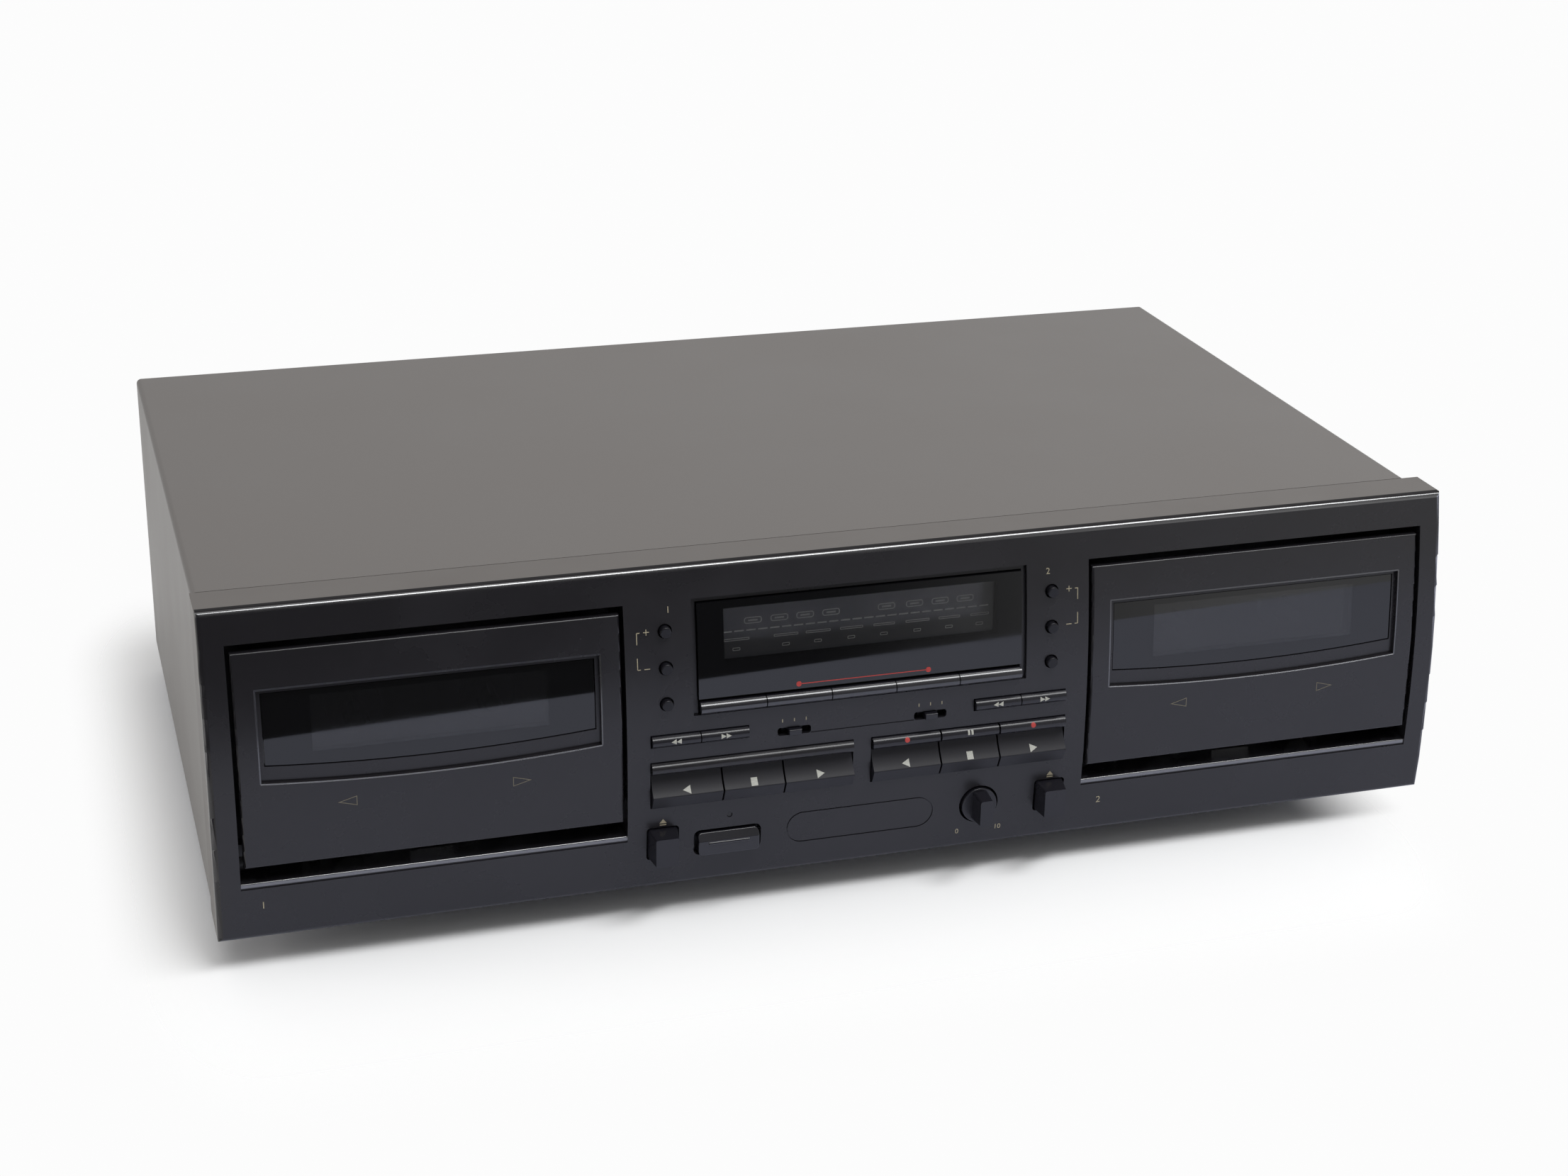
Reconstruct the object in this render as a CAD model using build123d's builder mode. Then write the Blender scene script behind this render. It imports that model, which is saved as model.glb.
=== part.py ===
from build123d import *
import os
from math import acos, atan2, cos, pi, sin, sqrt

os.makedirs("parts", exist_ok=True)

# Frame of the part
# X runs to the right, Y to the back and Z up, in millimetres. Inside this file a point is given by
# its width from the middle, its depth behind the upper front edge of the panel and its height above
# the lower edge of the panel. The plane functions below carry that into the frame of the part.

# Front panel, as a middle part between the two cassette wells and a narrow end outside each
middle_width = 158.0
well_width = 123.1
end_width = 7.9
panel_height = 109.5
panel_depth = 16.4
panel_wall = 2.5
panel_round = 1.6
face_radius = 353.5
crown_height = 38.1
crown_reach = 7.0
foot_height = 11.0

# Sheet metal case
case_left_step = 0.4
case_right_step = 4.8
case_length = 220.4
case_bottom = 1.8
sheet = 1.0
bend_round = 0.8
tray_sheet = 1.2
tray_flange = 14.0
tray_rear_flange = 8.0
rear_lip = 10.0
front_lip = 6.0

# Clearances
fit_gap = 0.3
overlap = 0.2
cut_over = 3.0
key_gap = 0.35
slide_gap = 0.25
running_gap = 0.08

# Cassette wells, doors and holders
well_bottom = 20.0
well_top = 98.7
well_rim = 1.6
well_depth = 18.0
sill_step = 2.0
sill_step_depth = 0.4
sill_round = 0.4
door_gap = 1.3
door_bottom = 25.5
door_top = 96.0
door_wall = 2.5
door_round = 0.7
door_rib_inset = 4.0
door_rib_wall = 2.0
door_rib_height = 3.0
door_rib_margin = 5.0
window_margin = 6.95
window_top = 83.7
window_low = 54.0
window_sag = 2.1
window_recess = 1.4
window_border = 1.3
window_sill = 4.8
window_flange = 2.4
window_low_flange = 1.4
lens_wall = 1.5
hinge_depth = 3.0
hinge_height = 23.4
hinge_radius = 1.5
hinge_boss = 2.9
cassette_width = 100.4
cassette_bottom = 31.0
holder_front = 1.5
holder_wall = 1.2
holder_depth = 15.7
holder_lip = 5.0
holder_top = 92.0
holder_low = 26.0
holder_side = 2.0
holder_frame_side = 6.0
holder_frame_low = 8.0
holder_frame_high = 6.0
holder_wall_low = 1.5
holder_wall_high = 2.0
holder_lip_low = 2.0
holder_lip_high = 4.0
holder_shelf = 8.0
holder_shelf_wall = 1.6
hinge_boss_width = 5.0
hinge_boss_height = 4.0
pin_root = 1.0
pin_end_gap = 0.2

# Display window and its board
display_width = 110.4
display_low = 65.2
display_top = 97.0
display_groove = 1.8
display_groove_depth = 1.3
display_lens = 2.0
display_frame = 1.7
display_pad = 1.7
display_pad_margin = 2.0
display_pad_gap = 1.0
lens_round = 0.4
tube_width = 104.0
tube_height = 24.0
tube_middle = 81.3
tube_front = 3.2
board_front = 10.0
board_sheet = 1.6
board_width = 151.0
board_low = 4.5
board_top = 105.0
board_notch_gap = 1.0
post_radius = 1.8
post_places = ((74.3, 58.0), (73.0, 102.6), (27.0, 24.6), (73.0, 6.4))

# Keys along the display
copy_key_count = 5
copy_key_low = 60.5
copy_key_height = 4.0
nose_reach = 2.0
nose_root = 0.3
flange_height = 1.2
flange_sheet = 1.2
flange_margin = 1.5
key_travel = 0.8
switch_size = 6.0
switch_height = 3.5
switch_plunger = 1.5
plunger_radius = 1.5
stem_size = 3.0

# Winding keys beside the slide switches
wind_inner = 39.0
wind_outer = 71.0
wind_split = 55.0
wind_low = 50.9
wind_height = 3.7

# Transport keys
trio_inner = 3.4
trio_outer = 71.2
trio_middle_key = 20.7
trio_split_gap = 0.6
record_low = 41.3
record_height = 3.9
big_key_low = 29.6
big_key_top = 40.7
big_key_recess = 1.0
big_key_reach = 3.1
big_key_nose = 4.5
big_key_undercut = 2.1
big_key_hollow = 0.5
big_key_round = 0.5
bar_pocket = 1.0

# Round buttons
button_place = 65.8
button_heights = (89.3, 77.2, 65.2)
button_radius = 1.85
button_hole = 2.35
button_reach = 1.8
button_flange = 1.0
button_round = 0.4

# Slide switches
slider_place = 23.4
slider_rise = 6.0
slot_width = 11.3
slot_height = 2.8
slider_cap_width = 4.2
slider_cap_height = 2.0
slider_reach = 1.8
slider_round = 0.3
slider_pin_width = 2.0
shutter_margin = 1.5
shutter_height = 4.8
slide_body_margin = 1.0
slide_body_depth = 6.0
slide_body_height = 6.4
slide_track_front = 6.5
slide_track_back = 4.0
slide_track_height = 2.0

# Power key, eject keys, level knob and lamp
power_place = -45.5
power_height = 14.5
power_hole_width = 22.8
power_hole_height = 9.2
power_width = 20.6
power_key_height = 7.4
power_reach = 2.5
power_travel = 2.5
power_hole_round = 2.2
power_corner = 1.4
power_slope_depth = 1.8
power_slope_height = 2.4
power_round = 0.4
power_rib_width = 13.6
power_rib_radius = 0.6
power_rib_set = 0.15
power_rib_rise = 0.4
power_flange_space = 2.0
power_stem_size = 5.0
power_switch_width = 12.0
power_switch_height = 10.0
power_switch_depth = 3.0
eject_place = 67.3
eject_height = 16.2
eject_width = 9.8
eject_key_height = 10.7
eject_front_width = 7.6
eject_reach = 6.5
eject_gap = 0.5
eject_hole_round = 1.2
eject_round = 0.9
eject_tip_round = 0.6
eject_tip_drop = 0.6
eject_tip_taper = 0.8
eject_stem_size = 6.0
eject_stem_reach = 1.4
knob_place = 42.1
knob_height = 15.8
knob_radius = 6.2
knob_hole = 6.9
knob_skirt_reach = 1.2
knob_reach = 8.0
knob_skirt_round = 0.4
knob_bar_root = 0.5
knob_bar_base = (5.3, 10.3)
knob_bar_tip = (4.5, 9.3)
knob_bar_round = 0.8
knob_shaft = 3.0
pot_radius = 8.5
pot_front = 3.0
lamp_place = -44.9
lamp_height = 23.6
lamp_radius = 0.75
lamp_gap = 0.15

# Engraved lines
plate_mark_middle = 0.2
plate_mark_height = 15.6
plate_mark_width = 51.2
plate_mark_tall = 11.4
engrave_width = 0.4
engrave_depth = 0.3

# Tape mechanism
frame_margin = 1.45
frame_low = 11.4
frame_top = 101.0
frame_wall = 2.0
frame_back = 38.0
bridge_height = 14.0
frame_leg = 12.0
frame_leg_place = 50.0
hub_place = 21.25
hub_height = 66.0
reel_disc = 9.0
reel_disc_wall = 2.2
reel_spindle = 2.6
reel_fin = 4.2
reel_tip = 6.0
reel_axle = 1.5
reel_gear = 5.0
reel_gear_wall = 3.5
reel_disc_round = 0.6
reel_tip_round = 0.8
reel_fin_wall = 1.0
reel_fin_root = 1.0
reel_fin_setback = 1.5
reel_bearing_wall = 1.5
bearing_wall = 3.0
capstan_place = 26.2
capstan_height = 37.0
capstan_radius = 1.1
capstan_tip = 5.8
flywheel_radius = 21.5
flywheel_front = 25.0
flywheel_wall = 8.0
flywheel_web = 2.0
flywheel_rim = 4.0
flywheel_hub = 2.0
bearing_radius = 4.0
front_bearing_reach = 3.4
back_bearing_reach = 1.5
capstan_end_wall = 1.0
head_plate_sheet = 1.4
head_plate_width = 80.0
head_plate_low = 20.7
head_plate_top = 33.0
head_width = 14.0
head_front = 5.5
head_height = 9.0
head_travel = 4.3
head_gap = 0.6
head_round = 3.0
head_notch_gap = 0.6
roller_gap = 0.2
roller_pin_radius = 1.2
roller_pin_reach = 1.0
roller_arm_width = 4.0
roller_arm_low = 3.0
roller_arm_high = 1.0
roller_root = 0.5
roller_radius = 5.0
roller_front = 6.0
roller_width = 6.0
guide_place = 36.0
guide_height = 29.0
guide_radius = 1.4
guide_reach = 3.0
motor_place = 40.0
motor_height = 83.0
motor_radius = 14.0
motor_length = 24.0
motor_plate_side = 4.0
motor_plate_low = 2.0
pulley_radius = 5.0
pulley_gap = 0.6
pulley_rim = 1.0
motor_shaft = 1.0
belt_width = 4.0
belt_wall = 1.0

# Boards, transformer and sockets
main_board_left_gap = 12.0
main_board_right_gap = 7.9
main_board_front = 84.0
main_board_back = 228.0
main_board_height = 11.0
socket_insets = (54.0, 30.0)
socket_rows = (24.0, 40.0)
socket_round = 0.4
socket_block_side = 12.0
socket_block_depth = 14.0
socket_block_top = 8.0
socket_block_root = 0.5
socket_radius = 4.15
socket_bore = 1.7
socket_bore_depth = 8.0
socket_reach = 9.0
socket_hole = 5.0
gland_inset = 45.0
gland_height = 27.0
gland_size = 12.0
gland_flange = 3.0
gland_flange_wall = 2.5
gland_bore = 3.6
gland_body = 8.0
gland_gap = 0.15
gland_round = 0.8
transformer_inset = 60.0
transformer_depth = 190.0
core_width = 56.0
core_height = 46.0
core_stack = 26.0
strap_width = 80.0
strap_sheet = 1.5
strap_side = 4.0
coil_side = 9.0
coil_reach = 11.0
coil_end = 8.0
coil_round = 4.0

# Soldered parts of the main board, placed from its left front corner, with their sizes
small_can_start = (38.0, 26.0)
small_can_step = (30.0, 34.0)
small_can_counts = (6, 2)
small_can_radius = 4.0
small_can_height = 12.0
large_cans = ((18.0, 106.0, 9.0, 30.0), (42.0, 106.0, 9.0, 30.0), (28.0, 76.0, 6.0, 20.0))
chip_places = ((78.0, 106.0), (118.0, 106.0), (158.0, 106.0), (248.0, 36.0), (208.0, 76.0))
chip_size = (24.0, 8.0, 4.0)
heat_sink_place = (133.0, 131.0)
heat_sink_size = (50.0, 6.0, 28.0)

# Feet and screws
foot_radius = 20.0
foot_base = 17.0
foot_wall = 2.5
foot_boss_wall = 1.5
foot_screw_depth = 2.0
foot_inset = 45.0
foot_front = 46.0
foot_rear = 206.0
screw_radius = 1.5
screw_head = 2.9
screw_head_wall = 1.8
screw_length = 8.0
screw_hole_gap = 0.2
boss_radius = 3.2
top_screw_inset = 20.0
top_screw_drop = 6.0
side_screw_inset = 5.7
side_screw_height = 52.0
low_screw_height = 6.6
low_screw_left = -120.0
low_screw_middle = 60.0
board_screw_inset = 8.0
board_screw_back = (10.0, 14.0)
strap_screw_inset = 6.0

# Joints between the tray, the panel and the frames
tray_front_gap = 2.0
tray_flange_gap = 1.0

# Derived sizes
panel_width = middle_width + 2 * (well_width + end_width)
well_centre = (middle_width + well_width) / 2
door_width = well_width - 2 * door_gap
window_width = door_width - 2 * window_margin
frame_width = well_width + 2 * frame_margin
half_panel = panel_width / 2
case_left = case_left_step - half_panel
case_right = half_panel - case_right_step
case_rear = panel_depth + case_length
case_top = panel_height
case_front = panel_depth + fit_gap
tray_low = panel_wall
tray_top = tray_low + tray_sheet
tray_left = case_left + sheet + fit_gap
tray_right = case_right - sheet - fit_gap
rear_face = case_rear - sheet
foot_place = half_panel - foot_inset
slider_height = record_low + record_height + slider_rise
gland_place = gland_inset - half_panel
transformer_place = transformer_inset - half_panel
main_board_left = transformer_place + strap_width / 2 + main_board_left_gap
main_board_right = tray_right - main_board_right_gap
socket_columns = [main_board_right - inset for inset in socket_insets]
trio_middle = (trio_inner + trio_outer) / 2
stem_end = board_front - switch_height - switch_plunger - key_travel - fit_gap


def face_depth(height, inset=0.0):
    """Depth of the curved panel face, or of a surface set in from it, at a height."""
    rise = height - crown_height
    return face_radius - crown_reach - sqrt((face_radius - inset) ** 2 - rise**2)


front_end = face_depth(knob_height) - knob_reach
rear_end = case_rear + socket_reach
middle = (front_end + rear_end) / 2


def upright(depth):
    """Upright plane across the part, facing the front, at a depth."""
    return Plane(origin=(0, depth - middle, foot_height), x_dir=(1, 0, 0), z_dir=(0, -1, 0))


def lengthwise(width):
    """Upright plane along the part, facing right, at a distance from the middle."""
    return Plane(origin=(width, -middle, foot_height), x_dir=(0, 1, 0), z_dir=(1, 0, 0))


def level(height):
    """Level plane, facing up, at a height."""
    return Plane(origin=(0, -middle, foot_height + height), x_dir=(1, 0, 0), z_dir=(0, 0, 1))


def block(widths, depths, heights, mode=Mode.ADD):
    """Straight block between its limits in width, depth and height."""
    with BuildSketch(level(heights[0])) as base:
        with Locations((sum(widths) / 2, sum(depths) / 2)):
            Rectangle(widths[1] - widths[0], depths[1] - depths[0])
    extrude(base.sketch, amount=heights[1] - heights[0], mode=mode)


def rod(width, height, depths, radius, mode=Mode.ADD):
    """Round rod that points at the front."""
    with BuildSketch(upright(depths[1])) as base:
        with Locations((width, height)):
            Circle(radius)
    extrude(base.sketch, amount=depths[1] - depths[0], mode=mode)


def post(width, depth, heights, radius, mode=Mode.ADD):
    """Round post that stands up."""
    with BuildSketch(level(heights[0])) as base:
        with Locations((width, depth)):
            Circle(radius)
    extrude(base.sketch, amount=heights[1] - heights[0], mode=mode)


def axle(widths, depth, height, radius, mode=Mode.ADD):
    """Round rod that lies across the part."""
    with BuildSketch(lengthwise(widths[0])) as base:
        with Locations((depth, height)):
            Circle(radius)
    extrude(base.sketch, amount=widths[1] - widths[0], mode=mode)


def bowed_block(widths, heights, inset, back, mode=Mode.ADD):
    """Block whose front follows the curved face at an inset and whose back is flat."""
    low, high = heights
    half = (low + high) / 2
    with BuildSketch(lengthwise(widths[0])) as outline:
        with BuildLine():
            ThreePointArc(
                (face_depth(low, inset), low),
                (face_depth(half, inset), half),
                (face_depth(high, inset), high),
            )
            Polyline(
                (face_depth(high, inset), high),
                (back, high),
                (back, low),
                (face_depth(low, inset), low),
            )
        make_face()
    extrude(outline.sketch, amount=widths[1] - widths[0], mode=mode)


def bowed_sheet(widths, heights, insets, mode=Mode.ADD):
    """Sheet whose front and back both follow the curved face."""
    low, high = heights
    half = (low + high) / 2
    front, back = insets
    with BuildSketch(lengthwise(widths[0])) as outline:
        with BuildLine():
            ThreePointArc(
                (face_depth(low, front), low),
                (face_depth(half, front), half),
                (face_depth(high, front), high),
            )
            Line((face_depth(high, front), high), (face_depth(high, back), high))
            ThreePointArc(
                (face_depth(high, back), high),
                (face_depth(half, back), half),
                (face_depth(low, back), low),
            )
            Line((face_depth(low, back), low), (face_depth(low, front), low))
        make_face()
    extrude(outline.sketch, amount=widths[1] - widths[0], mode=mode)


def window_shape(margin, extra_low=0.0):
    """Outline of a door window, with its sagging lower edge, drawn smaller by a margin."""
    half = window_width / 2 - margin
    low = window_low + margin + extra_low
    top = window_top - margin
    with BuildSketch(upright(holder_front)) as outline:
        with BuildLine():
            Polyline((-half, low), (-half, top), (half, top), (half, low))
            ThreePointArc((half, low), (0, low - window_sag), (-half, low))
        make_face()
    return outline.sketch


def flange_depth(heights):
    """Depth at which a flange clears the inside of the panel over its height."""
    return max(face_depth(height, panel_wall) for height in heights) + fit_gap


def key_back(widths, heights, lips, stem_middle, stem_tip):
    """Retaining flange and stem behind a key cap, reaching back from the panel's inside."""
    low = heights[0] - lips[0]
    high = heights[1] + lips[1]
    front = flange_depth((low, high))
    block(widths, (front, front + flange_sheet), (low, high))
    across, up = stem_middle
    half = stem_size / 2
    block((across - half, across + half), (front, stem_tip), (up - half, up + half))


def nose_cap(widths, heights, reach):
    """Key cap with a rounded nose that stands out of the panel by its reach."""
    low, high = heights
    half = (low + high) / 2
    face = face_depth(half)
    root = face - nose_root
    back = flange_depth(heights) + flange_sheet
    with BuildSketch(lengthwise(widths[0])) as outline:
        with BuildLine():
            ThreePointArc((root, low), (face - reach, half), (root, high))
            Polyline((root, high), (back, high), (back, low), (root, low))
        make_face()
    extrude(outline.sketch, amount=widths[1] - widths[0])


def finish(piece, label):
    """Names a finished piece and writes it out."""
    piece.label = label
    export_step(piece, f"parts/{label}.step")
    print(f"{label}: {len(piece.solids())} solids, {piece.volume:.0f} mm3")


decks = ((1, -well_centre), (2, well_centre))
sides = (-1, 1)

# Cutters used by the front panel and the doors
half_window = window_width / 2

with BuildPart() as window_sink:
    sink_low = window_low - 2 * window_sag
    bowed_sheet((-half_window, half_window), (sink_low, window_top), (-cut_over, window_recess))
    extrude(window_shape(0), amount=2 * panel_depth, both=True, mode=Mode.INTERSECT)

with BuildPart() as plate_mark:
    mark_half = plate_mark_width / 2
    mark_low = plate_mark_height - plate_mark_tall / 2
    mark_high = plate_mark_height + plate_mark_tall / 2
    bowed_sheet(
        (plate_mark_middle - mark_half, plate_mark_middle + mark_half),
        (mark_low, mark_high),
        (-cut_over, engrave_depth),
    )
    with BuildSketch(upright(panel_depth)) as ring:
        with Locations((plate_mark_middle, plate_mark_height)):
            SlotOverall(plate_mark_width, plate_mark_tall)
            SlotOverall(
                plate_mark_width - 2 * engrave_width,
                plate_mark_tall - 2 * engrave_width,
                mode=Mode.SUBTRACT,
            )
    extrude(ring.sketch, amount=2 * panel_depth + crown_reach, mode=Mode.INTERSECT)

# Places of the keys, each as a name, its width limits and its stem place
copy_pitch = (display_width - key_gap) / copy_key_count
copy_heights = (copy_key_low, copy_key_low + copy_key_height)
wind_heights = (wind_low, wind_low + wind_height)
record_heights = (record_low, record_low + record_height)
big_heights = (big_key_low, big_key_top)
half_trio_key = trio_middle_key / 2
half_split = trio_split_gap / 2

copy_keys = []
for number in range(copy_key_count):
    key_left = -display_width / 2 + key_gap + number * copy_pitch
    copy_keys.append((f"copy_key_{number + 1}", (key_left, key_left + copy_pitch - key_gap)))

wind_keys = []
for deck, side in ((1, -1), (2, 1)):
    spans = sorted(
        [
            tuple(sorted((side * wind_inner, side * (wind_split - key_gap / 2)))),
            tuple(sorted((side * (wind_split + key_gap / 2), side * wind_outer))),
        ]
    )
    wind_keys.append((f"deck_{deck}_rewind_key", spans[0]))
    wind_keys.append((f"deck_{deck}_forward_key", spans[1]))

trio_spans = {}
for deck, side in ((1, -1), (2, 1)):
    centre = side * trio_middle
    left = centre - (trio_outer - trio_inner) / 2
    right = centre + (trio_outer - trio_inner) / 2
    trio_spans[deck] = (
        (left, centre - half_trio_key - half_split),
        (centre - half_trio_key + half_split, centre + half_trio_key - half_split),
        (centre + half_trio_key + half_split, right),
    )

buttons = []
for deck, side in ((1, -1), (2, 1)):
    for use, height in zip(("skip_up", "skip_down", "replay"), button_heights):
        buttons.append((f"deck_{deck}_{use}_button", side * button_place, height))

# Posts on the inside of the panel that carry the display board
board_posts = [(side * across, height) for side in sides for across, height in post_places]

# Front panel: a curved moulding, open at the back, with a rim round each cassette well
with BuildPart() as front_panel:
    bowed_block((-half_panel, half_panel), (0, panel_height), 0, panel_depth)
    fillet(front_panel.faces().sort_by(Axis.Y)[0].edges(), radius=panel_round)
    bowed_block(
        (-half_panel + panel_wall, half_panel - panel_wall),
        (panel_wall, panel_height - panel_wall),
        panel_wall,
        panel_depth + cut_over,
        mode=Mode.SUBTRACT,
    )
    for deck, centre in decks:
        reach = well_width / 2
        bowed_block(
            (centre - reach - well_rim, centre + reach + well_rim),
            (well_bottom - well_rim, well_top + well_rim),
            panel_wall / 2,
            well_depth,
        )
        block(
            (centre - reach, centre + reach),
            (-2 * crown_reach, well_depth + cut_over),
            (well_bottom, well_top),
            mode=Mode.SUBTRACT,
        )
        bowed_sheet(
            (centre - reach, centre + reach),
            (well_bottom - sill_step, well_bottom),
            (-cut_over, sill_step_depth),
            mode=Mode.SUBTRACT,
        )
        axle(
            (centre - reach - well_rim, centre + reach + well_rim),
            hinge_depth,
            hinge_height,
            hinge_radius + running_gap,
            mode=Mode.SUBTRACT,
        )
    sill_front = face_depth(well_bottom, sill_step_depth) - middle
    sill_level = foot_height + well_bottom
    sill_edges = front_panel.edges().filter_by(Axis.X)
    sill_edges = sill_edges.filter_by_position(Axis.Y, sill_front - fit_gap, sill_front + fit_gap)
    sill_edges = sill_edges.filter_by_position(Axis.Z, sill_level - fit_gap, sill_level + fit_gap)
    fillet(sill_edges, radius=sill_round)
    # Seat of the display window, with the slot of the copy keys below it
    half_display = display_width / 2
    groove_half = half_display + display_groove
    copy_slot_low = copy_key_low - key_gap
    bowed_sheet(
        (-groove_half - display_pad_margin, groove_half + display_pad_margin),
        (
            copy_heights[1] + flange_height + display_pad_gap,
            display_top + display_groove + display_pad_margin,
        ),
        (panel_wall - overlap, panel_wall + display_pad),
    )
    bowed_sheet(
        (-groove_half, groove_half),
        (copy_slot_low, display_top + display_groove),
        (-cut_over, display_groove_depth),
        mode=Mode.SUBTRACT,
    )
    bowed_sheet(
        (-half_display - fit_gap, half_display + fit_gap),
        (display_low - fit_gap, display_top + fit_gap),
        (-cut_over, display_lens + fit_gap),
        mode=Mode.SUBTRACT,
    )
    block(
        (-half_display + display_frame, half_display - display_frame),
        (-2 * crown_reach, panel_depth),
        (copy_slot_low, display_top - display_frame),
        mode=Mode.SUBTRACT,
    )
    block(
        (-half_display, half_display),
        (-2 * crown_reach, panel_depth),
        (copy_slot_low, display_low - fit_gap),
        mode=Mode.SUBTRACT,
    )
    # Slots of the winding keys and pockets of the transport keys
    for side in sides:
        wind_span = sorted((side * (wind_inner - key_gap), side * (wind_outer + key_gap)))
        block(
            wind_span,
            (-2 * crown_reach, panel_depth),
            (wind_heights[0] - key_gap, wind_heights[1] + key_gap),
            mode=Mode.SUBTRACT,
        )
        trio_span = sorted((side * (trio_inner - key_gap), side * (trio_outer + key_gap)))
        pocket_top = big_key_top + key_gap if side < 0 else record_heights[1] + key_gap
        block(
            trio_span,
            (-2 * crown_reach, panel_depth),
            (big_key_low - key_gap, pocket_top),
            mode=Mode.SUBTRACT,
        )
        with BuildSketch(upright(panel_depth)) as slot:
            with Locations((side * slider_place, slider_height)):
                RectangleRounded(slot_width, slot_height, slot_height / 3)
        extrude(slot.sketch, amount=panel_depth + 2 * crown_reach, mode=Mode.SUBTRACT)
        with BuildSketch(upright(panel_depth)) as eject_hole:
            with Locations((side * eject_place, eject_height)):
                RectangleRounded(
                    eject_width + 2 * eject_gap,
                    eject_key_height + 2 * eject_gap,
                    eject_hole_round,
                )
        extrude(eject_hole.sketch, amount=panel_depth + 2 * crown_reach, mode=Mode.SUBTRACT)
    # Fixed bar above the keys of the first deck, in its own shallow pocket
    bar_widths = (-trio_outer, -trio_inner)
    bowed_sheet(
        (bar_widths[0] - key_gap, bar_widths[1] + key_gap),
        (record_heights[0] - key_gap, record_heights[1] + key_gap),
        (-cut_over, bar_pocket),
        mode=Mode.SUBTRACT,
    )
    bar_face = face_depth(sum(record_heights) / 2)
    bar_root = bar_face - nose_root
    with BuildSketch(lengthwise(bar_widths[0])) as bar:
        with BuildLine():
            ThreePointArc(
                (bar_root, record_heights[0]),
                (bar_face - nose_reach, sum(record_heights) / 2),
                (bar_root, record_heights[1]),
            )
            Polyline(
                (bar_root, record_heights[1]),
                (bar_face + panel_wall / 2, record_heights[1]),
                (bar_face + panel_wall / 2, record_heights[0]),
                (bar_root, record_heights[0]),
            )
        make_face()
    extrude(bar.sketch, amount=bar_widths[1] - bar_widths[0])
    # Round holes, power key hole, knob hole and lamp hole
    for name, across, height in buttons:
        rod(across, height, (-2 * crown_reach, panel_depth), button_hole, mode=Mode.SUBTRACT)
    rod(knob_place, knob_height, (-2 * crown_reach, panel_depth), knob_hole, mode=Mode.SUBTRACT)
    lamp_hole = lamp_radius + lamp_gap
    rod(lamp_place, lamp_height, (-2 * crown_reach, panel_depth), lamp_hole, mode=Mode.SUBTRACT)
    with BuildSketch(upright(panel_depth)) as power_hole:
        with Locations((power_place, power_height)):
            RectangleRounded(power_hole_width, power_hole_height, power_hole_round)
    extrude(power_hole.sketch, amount=panel_depth + 2 * crown_reach, mode=Mode.SUBTRACT)
    # Engraved outline in the lower middle and the fine line between the slide switches
    add(plate_mark.part, mode=Mode.SUBTRACT)
    bowed_sheet(
        (-slider_place + slot_width / 2, slider_place - slot_width / 2),
        (slider_height - slot_height / 2, slider_height - slot_height / 2 + engrave_width),
        (-cut_over, engrave_depth),
        mode=Mode.SUBTRACT,
    )
    for across, height in board_posts:
        rod(across, height, (face_depth(height, panel_wall / 2), board_front), post_radius)
finish(front_panel.part, "front_panel")

# Display window: a smoked pane that lies level with the panel face
with BuildPart() as display_window:
    bowed_sheet(
        (-half_display, half_display),
        (display_low, display_top),
        (0, display_lens),
    )
    fillet(display_window.faces().sort_by(Axis.Y)[0].edges(), radius=lens_round)
finish(display_window.part, "display_window")

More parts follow.
